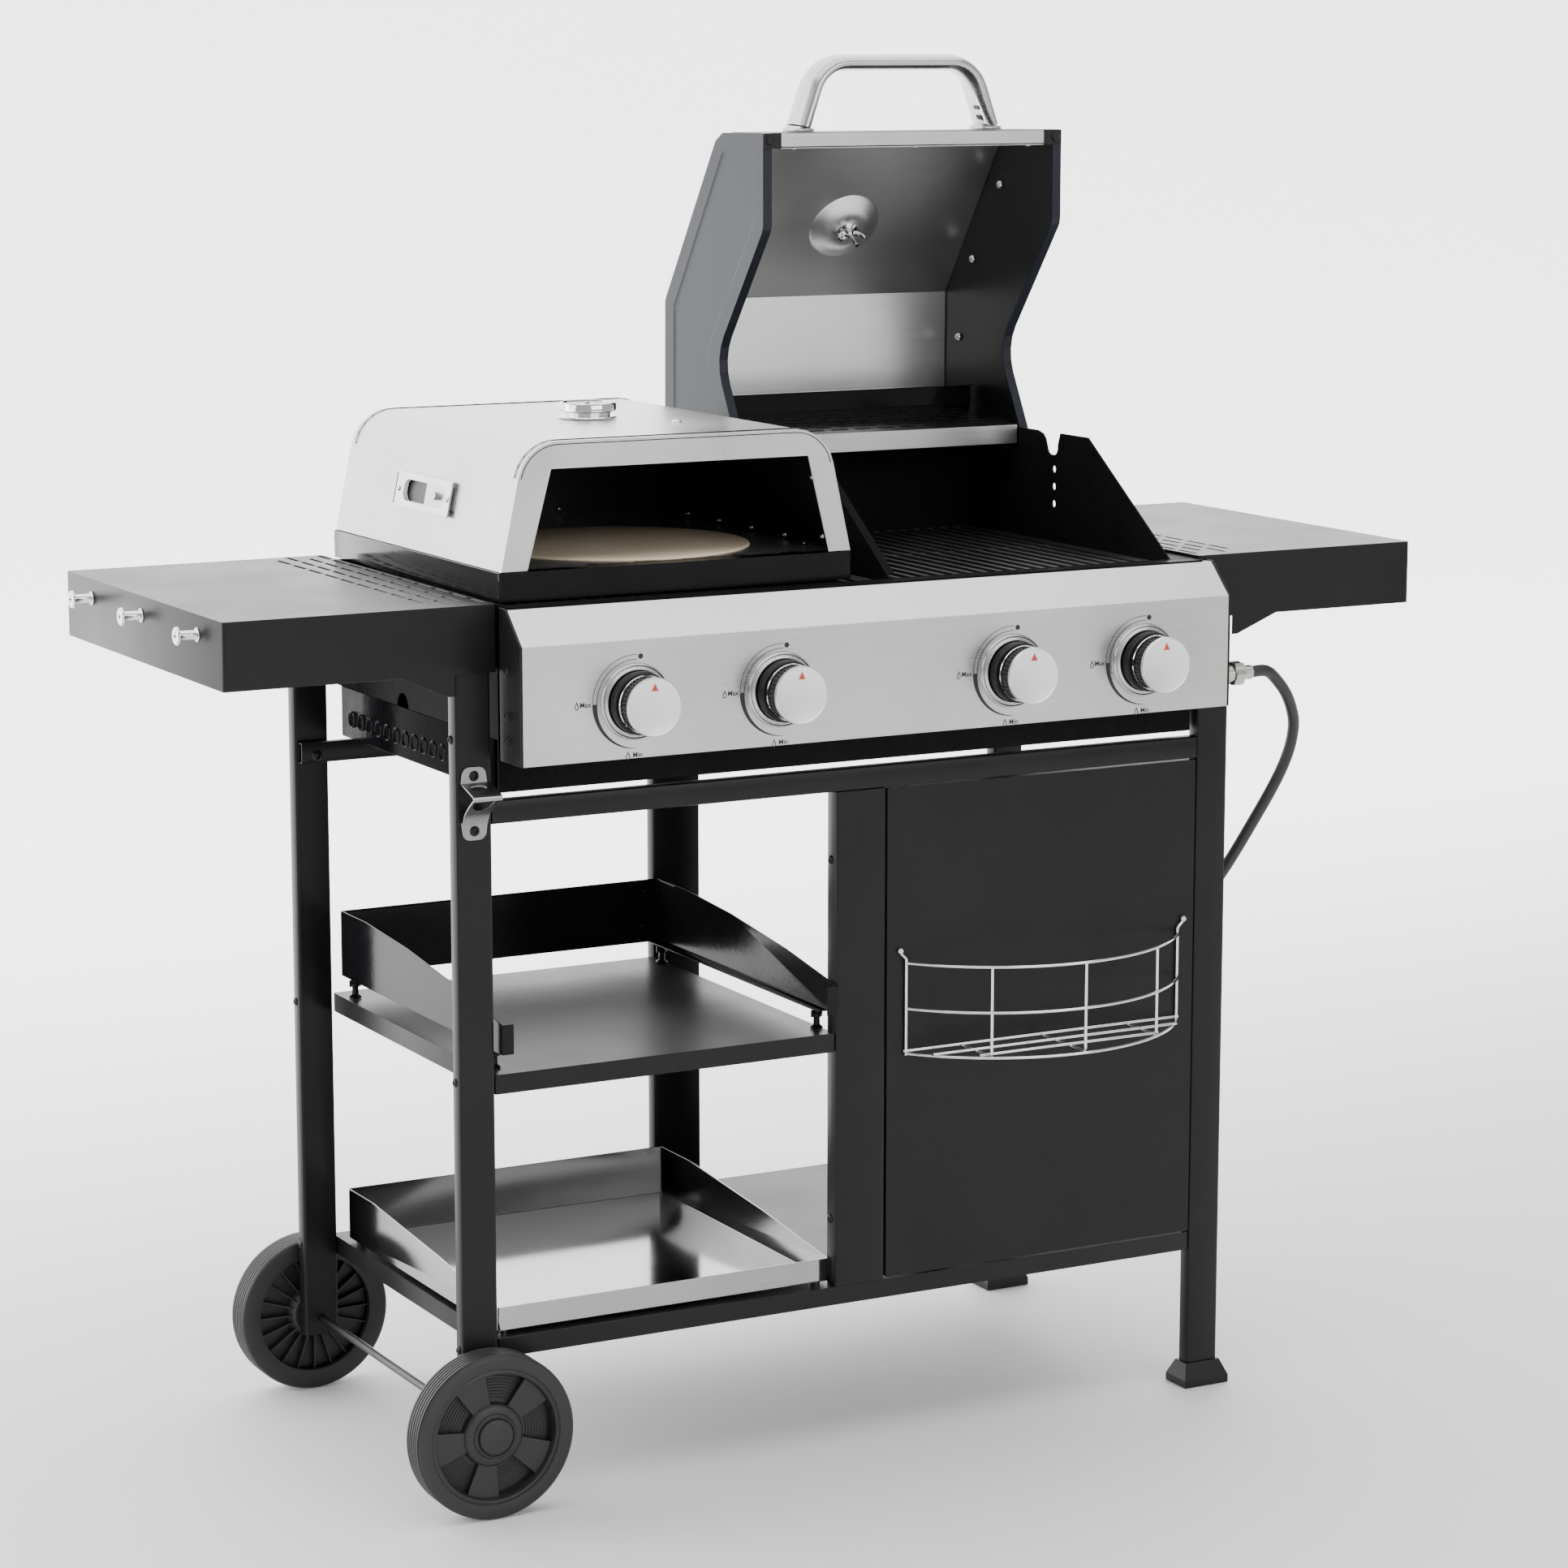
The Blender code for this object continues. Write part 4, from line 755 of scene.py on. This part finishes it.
def make_tables():
    for side, first, step in (("left", -0.015, 0.017), ("right", 0.8765, -0.017)):
        table = carried(f"side_table_{side}", bevel=0.001)
        slots = Build()
        for column in range(4):
            x = first + step * column
            start, count = ((0.05, 9), (0.0295, 10))[column % 2]
            for row in range(count):
                y = start + 0.041 * row
                slots.prism(rectangle(x - 0.0022, x + 0.0022, y - 0.0165, y + 0.0165), "Z", 0.86, 0.88)
        carve(table, slots)
    hooks = Build()
    near, far = HOOK_X - 0.0212, HOOK_X - 0.02194
    for number, y in enumerate((0.345, 0.206, 0.058), start=1):
        hook = Build()
        hook.turned([(0.0, 0.0212), (0.0012, 0.0212), (0.0018, 0.0219), (0.007, 0.0219), (0.008, 0.0214),
                     (0.0085, 0.0205), (0.0085, 0.0194), (0.0078, 0.0188), (0.0052, 0.0184), (0.0046, 0.0176),
                     (0.0045, 0.003), (0.005, 0.0022), (0.0062, 0.0018), (0.0068, 0.001), (0.0066, 0.0),
                     (0.0, 0.0)], (HOOK_X, y, HOOK_Z), (-1, 0, 0), 40)
        hook.piece(f"tool_hook_{number}_turned", CHROME, "cart", "chrome", (f"tool_hook_{number}",))
        for half_y, half_z in ((0.0036, 0.0007), (0.0007, 0.0036)):
            hooks.box((far, y - half_y, HOOK_Z - half_z), (near, y + half_y, HOOK_Z + half_z))
    hooks.piece("hook_recesses", INK, "cart", "chrome")


def make_opener():
    plate = Build()
    middle, left, right = 0.018, 0.0045, 0.0315
    for wide, narrow in ((0.704, 0.7195), (0.6675, 0.6503)):
        tab = [(left, wide), (right, wide), (right - 0.002, narrow, 0.008), (left + 0.002, narrow, 0.008)]
        plate.prism(rounded(tab, 6), "Y", -0.0022, -0.0004)
    hood = [(-0.001, 0.7048), (-0.014, 0.701), (-0.0275, 0.6968), (-0.0295, 0.6955), (-0.0302, 0.6932),
            (-0.03, 0.6912)]
    plate.sheet(hood, "X", left + 0.0005, right + 0.003, 0.0015)
    scoop = [(-0.029, 0.692), (-0.0225, 0.6875), (-0.015, 0.6815), (-0.0085, 0.6755), (-0.0045, 0.67),
             (-0.0024, 0.665)]
    plate.sheet(scoop, "X", left + 0.001, right, 0.0015)
    opener = plate.piece("opener_plate", GREY_STEEL, "cart", "stainless", ("bottle_opener",), bevel=0.0004)
    hole = Build()
    hole.prism([(middle + 0.0085 * a, -0.0125 + 0.005 * b) for a, b in circle(0, 0, 1, 24)], "Z",
               0.695, 0.71)
    mouth = [(0.008, 0.69), (0.0285, 0.69), (0.027, 0.684), (0.0215, 0.68, 0.003),
             (0.0145, 0.68, 0.003), (0.009, 0.684)]
    hole.prism(rounded(mouth, 4), "Y", -0.028, -0.01)
    carve(opener, hole)
    screws = Build()
    for z in (0.711, 0.659):
        screws.screw((middle, -0.0022, z), (0, -1, 0), 0.005)
    screws.piece("opener_screws", PLASTIC, "cart", "powder_coat")


# ---------------------------------------------------------------- lid

def lid_outline():
    return rounded([
        (0.24, 1.29, 0.004), (0.24, 1.194, 0.02), (0.345, 1.058, 0.045), (0.304, 0.983, 0.02),
        (0.29, 0.957, 0.012), (0.295, 0.93, 0.006), (0.462, 0.932, 0.006), (0.46, 1.112, 0.012),
        (0.344, 1.28, 0.012), (0.328, 1.2885, 0.006),
    ], 8)


def make_lid():
    evened(carried("lid_shell", SLATE, bevel=0.0008))
    field = [(0.24, 1.29), (0.24, 1.194), (0.345, 1.058), (0.3, 0.931), (0.4615, 0.931),
             (0.46, 1.112), (0.338, 1.2895)]
    corners = (0.006, 0.015, 0.03, 0.008, 0.006, 0.01, 0.01)
    for side, face, way in (("left", LID_LEFT, 1), ("right", LID_RIGHT, -1)):
        panel = carried(f"lid_side_{side}", SLATE, bevel=0.0007)
        sections = []
        for depth, edge in ((-0.001, 0.018), (0.0, 0.019), (0.0014, 0.022)):
            outline = rounded([(*point, radius) for point, radius in zip(inset(field, edge), corners)], 6)
            sections.append([(face + depth * way, y, z) for y, z in outline])
        carve(panel, Build().loft(*sections), 14)
        evened(panel)
    linings = Build()
    for x in (0.46, 0.79):
        linings.prism(inset(lid_outline(), 0.0022), "X", x, x + 0.0004)
    linings.piece("lid_side_linings", LINING, "lid", "grey_coat")
    liner = Build()
    liner.sheet([(0.2432, 1.2745), (0.2432, 1.2872), (0.3255, 1.2863), (0.3425, 1.278), (0.4575, 1.1115),
                 (0.4592, 0.965)], "X", 0.4612, 0.7888, -0.0005)
    slope = Vector((0, 0.116, -0.168)).normalized()
    inward = Vector((0, slope.z, -slope.y))
    centre = LID_GAUGE + inward * 0.0022
    liner.piece("lid_liner", LINER, "lid", "stainless", smooth=20)
    dish = Build()
    dish.turned([(0.0405, 0.0), (0.0395, 0.0012), (0.037, 0.0022), (0.03, 0.0058), (0.023, 0.0088),
                  (0.017, 0.0098), (0.012, 0.0094), (0.0, 0.0092)], centre, inward, 64)
    dish.piece("lid_gauge_dish", LINER, "lid", "stainless", smooth=50)
    nut = Build()
    base = centre + inward * 0.0092
    nut.turned([(0.0, 0.009), (0.0036, 0.009), (0.0055, 0.007), (0.0062, 0.003), (0.0105, 0.0016),
                (0.011, 0.0), (0.0, 0.0)], base, inward, 32)
    across = Vector((1, 0, 0))
    for side in (-1, 1):
        wing = [base + inward * h + across * side * r for h, r in
                ((0.004, 0.004), (0.0055, 0.0085), (0.0095, 0.0125), (0.0135, 0.0145), (0.016, 0.014))]
        nut.tube(wing, [0.0026, 0.0028, 0.0032, 0.003, 0.0014], 10)
    nut.tube([base, base + inward * 0.026], 0.0024, 14)
    nut.piece("lid_wing_nut", CHROME, "lid", "stainless")
    strip = Build()
    strip.prism(rectangle(0.4705, 0.7785, 1.2762, 1.2894, 0.0008, 2), "Y", 0.2392, 0.241)
    strip.prism(rectangle(0.4705, 0.7785, 1.2742, 1.2752), "Y", 0.2398, 0.25)
    for x in (0.487, 0.627, 0.762):
        strip.screw((x, 0.244, 1.2742), (0, 0, -1), 0.0028)
    strip.piece("lid_front_strip", STEEL, "lid", "stainless", bevel=0.0003)
    blocks = Build()
    for x0, x1, bump_x in ((0.4502, 0.4703, 0.4575), (0.7787, 0.7998, 0.792)):
        blocks.prism(rectangle(x0, x1, 1.2742, 1.2897, 0.0008, 2), "Y", 0.239, 0.254)
        blocks.turned([(0.0, 0.0022), (0.0034, 0.0022), (0.0042, 0.0016), (0.0045, 0.0), (0.0, 0.0)],
                      (bump_x, 0.239, 1.2822), (0, -1, 0), 28)
    blocks.piece("lid_corner_blocks", PLASTIC, "lid", "grey_coat", bevel=0.0004)
    rivets = Build()
    for y, z in ((0.344, 1.23), (0.4, 1.149), (0.428, 1.064)):
        for x, side in ((0.7886, -1), (0.4614, 1)):
            rivets.turned([(0.0, 0.0034), (0.0018, 0.0031), (0.0034, 0.002), (0.0042, 0.0), (0.0, 0.0)],
                          (x, y, z), (side, 0, 0), 24)
    rivets.piece("lid_rivets", CHROME, "lid", "stainless")
    make_handle()
    gauge("lid_gauge", LID_GAUGE, -inward, 0.03, 0.0015, 0.0145, "lid", "lid_thermometer")


def gauge(name, origin, out, radius, low, high, body, node):
    """A round thermometer whose case runs from low to high above the origin, with its stem behind."""
    case = Build()
    case.turned([(0.0, low), (radius * 0.93, low), (radius, low + 0.001), (radius, high - 0.0035),
                 (radius * 0.985, high - 0.001), (radius * 0.95, high), (radius * 0.91, high),
                 (radius * 0.885, high - 0.0012), (radius * 0.875, high - 0.0024), (0.0, high - 0.0024)],
                origin, out, 64)
    case.tube([origin + out * height for height in (low, -0.035)], 0.0024, 14)
    case.piece(f"{name}_case", CHROME, body, "stainless", (node,))
    turn = facing(origin, out)
    face = Build(turn)
    face.rod("Z", 0, 0, radius * 0.87, high - 0.003, high - 0.0021, 64)
    face.piece(f"{name}_dial", DIAL, body, "stainless")
    marks = Build(turn)
    top = high - 0.00205
    for tick in range(28):
        angle = math.radians(SCALE_START - 10 * tick)
        long = tick % 3 == 0
        a = Vector((math.cos(angle), math.sin(angle), 0))
        side = Vector((-a.y, a.x, 0)) * radius * (0.012 if long else 0.007)
        inner, outer = a * radius * (0.68 if long else 0.74), a * radius * 0.82
        corners = (inner - side, outer - side, outer + side, inner + side)
        marks.loft(*([p + Vector((0, 0, height)) for p in corners] for height in (top - 0.0003, top)))
    needle = Vector((math.cos(math.radians(222)), math.sin(math.radians(222)), 0))
    side = Vector((-needle.y, needle.x, 0)) * radius * 0.035
    tip, tail = needle * radius * 0.72, -needle * radius * 0.16
    corners = (tail - side, tip, tail + side)
    marks.loft(*([p + Vector((0, 0, height)) for p in corners] for height in (top, top + 0.0006)))
    marks.rod("Z", 0, 0, radius * 0.08, top, top + 0.001, 24)
    marks.piece(f"{name}_marks", INK, body, "stainless")
    scale(name, range(50, 351, 50), 45, radius * 0.56, top, radius * 0.15, turn, body)


def scale(name, values, step, radius, height, size, turn, body):
    """The numbers round a dial, with so many degrees from one to the next."""
    for number, value in enumerate(values):
        angle = math.radians(SCALE_START - step * number)
        place = turn @ Matrix.Translation((math.cos(angle) * radius, math.sin(angle) * radius, height))
        text(f"{name}_{value}", str(value), size, place, body)


def make_handle():
    carried("lid_handle", STEEL_UP, bevel=0.0, smooth=60)
    for number, (x, z) in enumerate(((0.7209, 1.3126), (0.7243, 1.303)), start=1):
        slot = Build(placed((x, 0.2794, z), -19, "Y"))
        slot.prism(rectangle(-0.0048, 0.0048, -0.002, 0.002, 0.001, 3), "X", -0.0007, 0.002)
        slot.piece(f"handle_slot_{number}", INK, "lid", "stainless")
    for side in (-1, 1):
        stretch = Matrix.Translation((0.625 + side * 0.1105, 0.285, 1.2903)) @ Matrix.Diagonal((1, 1.5, 1, 1))
        ring = Build(stretch)
        ring.turned([(0.0, 0.0), (0.0145, 0.0), (0.0149, 0.0008), (0.0146, 0.002), (0.0134, 0.0032),
                     (0.0122, 0.0036), (0.0112, 0.005), (0.01, 0.0056), (0.0, 0.0056)],
                    (0, 0, 0), (0, 0, 1), 48)
        ring.piece(f"handle_collar_{'left' if side < 0 else 'right'}", STEEL_UP, "lid", "stainless")


# ---------------------------------------------------------------- grill body

def make_grill():
    carried("firebox", PRESSED, bevel=0.0004)
    shelf = carried("rear_shelf", ENAMEL, bevel=0.0004)
    slots = Build()
    for row, y in enumerate((0.315, 0.327, 0.339, 0.351, 0.363, 0.375)):
        z = 0.979 + (y - 0.299) * 0.165
        for column in range(11):
            x = 0.484 + 0.0275 * column + (0.0 if row % 2 else 0.0135)
            if x < 0.77:
                slots.box((x - 0.0095, y - 0.002, z - 0.006), (x + 0.0095, y + 0.002, z + 0.006))
    carve(shelf, slots)
    strip = Build()
    strip.prism(rectangle(0.4665, 0.7845, 0.96, 0.9796, 0.0006, 2), "Y", 0.2968, 0.2988)
    strip.piece("rear_shelf_strip", STEEL, "cart", "stainless", bevel=0.0004)
    for side in ("left", "right"):
        carried(f"grate_{side}", IRON, bevel=0.0007)


def make_drip_tray():
    carried("drip_tray", SOOT, bevel=0.0005)
    rings = Build()
    for number in range(15):
        y = 0.048 + 0.0225 * number
        for x, side in ((0.048, -1), (0.812, 1)):
            rings.turned([(0.0085, -0.0004), (0.0083, 0.0007), (0.0075, 0.0012), (0.0067, 0.0007),
                          (0.0062, -0.0004)], (x, y, 0.71), (side, 0, 0), 28)
    rings.piece("drip_tray_rings", ENAMEL, "drip_tray", "gloss_enamel")


# ---------------------------------------------------------------- pizza oven

def make_oven():
    carried("oven_base", ENAMEL, bevel=0.0006)
    carried("oven_shell", STEEL_DEEP, bevel=0.0012, segments=3)
    lining = Build()
    profile = rounded([(0.0557, 0.8985), (0.081, 1.0146, 0.04), (0.395, 1.0146, 0.04),
                       (0.4213, 0.8985)], 8)
    lining.sheet(profile, "Y", 0.0125, 0.408, 0.0005)
    lining.prism(profile, "Y", 0.4076, 0.4082)
    lining.piece("oven_lining", LINING, "oven", "stainless")
    floor = Build()
    for row in range(7):
        for column in range(17):
            x = 0.075 + 0.0195 * column + (0.009 if row % 2 else 0.0)
            y = 0.03 + 0.014 * row
            tilt = placed((x, y, 0.0), -38, "Z")
            ends = [tilt @ Vector((a, b, 0.0)) for a, b in rectangle(-0.0065, 0.0065, -0.0013, 0.0013)]
            floor.prism([(e.x, e.y) for e in ends], "Z", 0.88985, 0.89008)
    floor.piece("oven_floor_slots", LINING, "oven", "gloss_enamel")
    rivets = Build()
    on_wall = [(0.3935, 0.034, 0.967), (0.4055, 0.034, 0.909)]
    on_wall += [(0.405, y, 0.903) for y in (0.11, 0.18, 0.25, 0.32)]
    on_back = [(0.3, 0.406, 0.905), (0.18, 0.406, 0.905)]
    for spots, out in ((on_wall, (-1, 0, -0.2)), ([(0.3995, 0.06, 0.9)], (0, 0, 1)), (on_back, (0, -1, 0))):
        for place in spots:
            rivets.screw(place, out, 0.0028)
    for y in (0.129, 0.3):
        rivets.screw((0.296, y, 1.0166), (0, 0, 1), 0.005)
    rivets.piece("oven_rivets", CHROME, "oven", "stainless")
    seam = Build()
    outline = [(0.053, 0.8972), (0.0787, 1.0169, 0.0424), (0.3973, 1.0169, 0.0424), (0.424, 0.8972)]
    seam.tube([(x, 0.0099, z) for x, z in inset(rounded(outline, 10), 0.0035)[1:-1]], 0.0005, 8)
    for y in (0.3985, 0.018):
        seam.tube([(x, y, z) for x, z in inset(rounded(outline, 10), -0.0001)[1:-1]], 0.0005, 8)
    seam.piece("oven_seams", LINING, "oven", "stainless")
    mouth = Build()
    edge = [(0.08, 0.8972), (0.105, 0.9912), (0.377, 0.9912), (0.4, 0.8972)]
    mouth.tube([(x, 0.0106, z) for x, z in edge], 0.0009, 8)
    mouth.piece("oven_mouth_edge", STEEL_DEEP, "oven", "stainless")
    lean = math.atan2(0.0255, 0.1197)
    foot_x, foot_z, vent_z = 0.0531, 0.8968, 0.951
    vent_x = foot_x + (vent_z - foot_z) * math.tan(lean)
    vent = Build(placed((vent_x, 0.0, vent_z), math.degrees(lean), "Y"))
    outer = rectangle(0.142, 0.275, -0.0172, 0.0172, 0.002, 4)
    inner = rectangle(0.156, 0.254, -0.0105, 0.0105, 0.0098, 4)
    vent.frame(outer, inner, "X", -0.0034, -0.0024)
    vent.frame(outer, inset(outer, 0.0018), "X", -0.0042, -0.003)
    for y in (0.149, 0.265):
        vent.screw((-0.0034, y, 0.0), (-1, 0, 0), 0.0032)
    vent.piece("oven_vent_frame", CHROME, "oven", "stainless", bevel=0.0004)
    carried("oven_vent_shutter", STEEL_DEEP, bevel=0.0004)
    discs = Build()
    discs.turned([(0.0, 0.001), (0.0285, 0.001), (0.029, 0.0018), (0.0285, 0.0026), (0.0225, 0.0028),
                  (0.0225, 0.0062), (0.027, 0.007), (0.0282, 0.008), (0.0284, 0.014), (0.0276, 0.0155),
                  (0.0262, 0.0162), (0.025, 0.016), (0.0245, 0.015), (0.0242, 0.014), (0.0, 0.014)],
                 OVEN_GAUGE, (0, 0, 1), 72)
    discs.tube([OVEN_GAUGE, OVEN_GAUGE - Vector((0, 0, 0.034))], 0.0028, 16)
    discs.piece("oven_gauge_case", CHROME, "oven", "stainless", ("oven_thermometer",))
    turn = Matrix.Translation(OVEN_GAUGE)
    dial = Build(turn)
    dial.rod("Z", 0, 0, 0.024, 0.0138, 0.0143, 64)
    dial.piece("oven_gauge_dial", DIAL, "oven", "stainless")
    scale("oven_gauge", range(100, 501, 100), 67.5, 0.0165, 0.01436, 0.0045, turn, "oven")
    marks = Build(turn)
    for tick in range(28):
        angle = math.radians(SCALE_START - 10 * tick)
        marks.tube([(math.cos(angle) * reach, math.sin(angle) * reach, 0.0143) for reach in (0.0205, 0.0225)],
                   0.00022, 4)
    marks.tube([Vector((0.0035, 0.0035, 0.0148)), Vector((-0.0125, -0.0125, 0.0148))], [0.0007, 0.0002], 6)
    marks.rod("Z", 0, 0, 0.0018, 0.0143, 0.0153, 20)
    marks.piece("oven_gauge_marks", INK, "oven", "stainless")
    stone = Build()
    stone.turned([(0.0, 0.01), (0.1305, 0.01), (0.132, 0.0096), (0.1329, 0.0086), (0.133, 0.0014),
                  (0.1322, 0.0004), (0.1305, 0.0), (0.0, 0.0)], (0.24, 0.156, 0.8903), (0, 0, 1), 128)
    stone.piece("pizza_stone_disc", STONE, "pizza_stone", "stone", ("pizza_stone",))


# ---------------------------------------------------------------- cabinet

def make_basket():
    radius = 0.0016
    x0, x1, back = 0.48, 0.8, -0.004
    middle, bow = (x0 + x1) / 2, 0.2
    centre_y = back + math.sqrt(bow ** 2 - (x1 - middle) ** 2)
    top, mid, floor = 0.486, 0.44, 0.3945

    def bowed_y(x):
        return centre_y - math.sqrt(bow ** 2 - (x - middle) ** 2)

    wires = Build()
    half_turn = math.degrees(math.asin((x1 - middle) / bow))
    for z in (top, mid, floor):
        wires.tube([(x, y, z) for x, y in arc(middle, centre_y, bow, 270 - half_turn, 270 + half_turn, 48)],
                   radius, 12)
    for x in (0.546, 0.64, 0.741):
        front = bowed_y(x) + 0.0022
        bend = [(x, y, z) for y, z in rounded([(back + 0.001, floor + 0.0001), (front, floor + 0.0001, 0.005),
                                               (front, top + 0.001)], 6)]
        wires.tube(bend, radius, 12)
    for x, hook_x in ((x0 + 0.0007, 0.474), (x1 - 0.0007, 0.806)):
        y = back + 0.0018
        line = rounded([(hook_x, 0.499), (hook_x, 0.4965, 0.004), (x, top + 0.004, 0.004),
                        (x, floor - 0.002)], 5)
        wires.tube([(a, y, b) for a, b in line], radius, 12)
        wires.turned([(0.0, -0.0036), (0.0026, -0.0026), (0.0036, 0.0), (0.0026, 0.0026), (0.0, 0.0036)],
                     (hook_x, y, 0.4985), (0, -1, 0), 24)
    for share, reach in ((0.0, 1.0), (0.33, 0.88), (0.64, 0.64)):
        y = back + 0.003 + share * (bowed_y(middle) - back)
        half = (x1 - middle) * reach + 0.002
        wires.tube([(middle - half, y, floor + 0.0022), (middle + half, y, floor + 0.0022)], radius, 12)
    wires.piece("basket_wires", CHROME, "basket", "chrome", ("basket",), smooth=60)


def make_cart():
    screws = Build()
    front_y, rear_y = SCREW_Y
    side_heights, back_heights = (0.7447, 0.4185, 0.1575), (0.7, 0.41, 0.156)
    for x, y, heights, out, radius in (
        (0.0, front_y, side_heights, (-1, 0, 0), 0.0044),
        (CART_RIGHT, front_y, side_heights, (1, 0, 0), 0.0044),
        (CART_RIGHT, rear_y, side_heights, (1, 0, 0), 0.0044),
        (0.0, rear_y, (0.416, 0.159), (-1, 0, 0), 0.0044),
        (0.0202, 0.3897, (0.6715,), (0, -1, 0), 0.0058),
        (0.044, -0.02, (0.8088, 0.7676, 0.7446), (-1, 0, 0), 0.0042),
        (0.825, -0.033, (0.81, 0.745), (1, 0, 0), 0.0042),
        (0.403, 0.01, (0.5946, 0.233), (-1, 0, 0), 0.0046),
        (0.0195, 0.417, back_heights, (0, 1, 0), 0.0046),
        (0.8395, 0.417, back_heights, (0, 1, 0), 0.0046),
    ):
        for z in heights:
            screws.screw((x, y, z), out, radius)
    screws.piece("cart_screws", PLASTIC, "cart", "powder_coat")


def make_accessories():
    carried("wind_guard", ENAMEL, bevel=0.0003)
    rivets = Build()
    for x, z in ((0.3867, 0.4978), (0.3838, 0.4602), (0.0573, 0.4978), (0.0602, 0.4602)):
        rivets.screw((x, 0.3868, z), (0, -1, 0), 0.0028)
    rivets.piece("guard_rivets", ENAMEL, "wind_guard", "gloss_enamel")
    rim = Build()
    rim.tube([(0.0432, 0.345, 0.5085), (0.0432, 0.3868, 0.5092), (0.4008, 0.3868, 0.5092),
              (0.4008, 0.345, 0.5085)], 0.0011, 8)
    rim.piece("guard_rim", ENAMEL, "wind_guard", "gloss_enamel")
    wings = Build()
    for x, y in ((0.048, 0.027), (0.396, 0.027), (0.048, 0.367), (0.396, 0.367)):
        wings.turned([(0.0, 0.0), (0.0062, 0.0), (0.0066, 0.0016), (0.0034, 0.004), (0.0032, 0.011),
                      (0.005, 0.012), (0.005, 0.015), (0.0, 0.015)], (x, y, 0.4236), (0, 0, 1), 20)
        wings.box((x - 0.0062, y - 0.001, 0.435), (x + 0.0062, y + 0.001, 0.442))
    wings.piece("guard_feet", ENAMEL, "wind_guard", "gloss_enamel", bevel=0.0003)
    # Painted shade: the griddle tray's colour falls to 0.3 of itself towards its back, for the dark
    # reflections there.
    carried("griddle_tray", darkened(BRIGHT, 0.0, 0.18, 0.3), bevel=0.0005)


make_stage()
make_hose()
carried("axle", AXLE)
make_wheel("front", -0.002, -1)
make_wheel("rear", 0.419, 1)
make_panel()
make_tables()
make_opener()
make_lid()
make_grill()
make_drip_tray()
make_oven()
make_basket()
make_cart()
make_accessories()
for node, shape in frame["nodes"].items():
    if not shape.hide_render:
        carried(node)
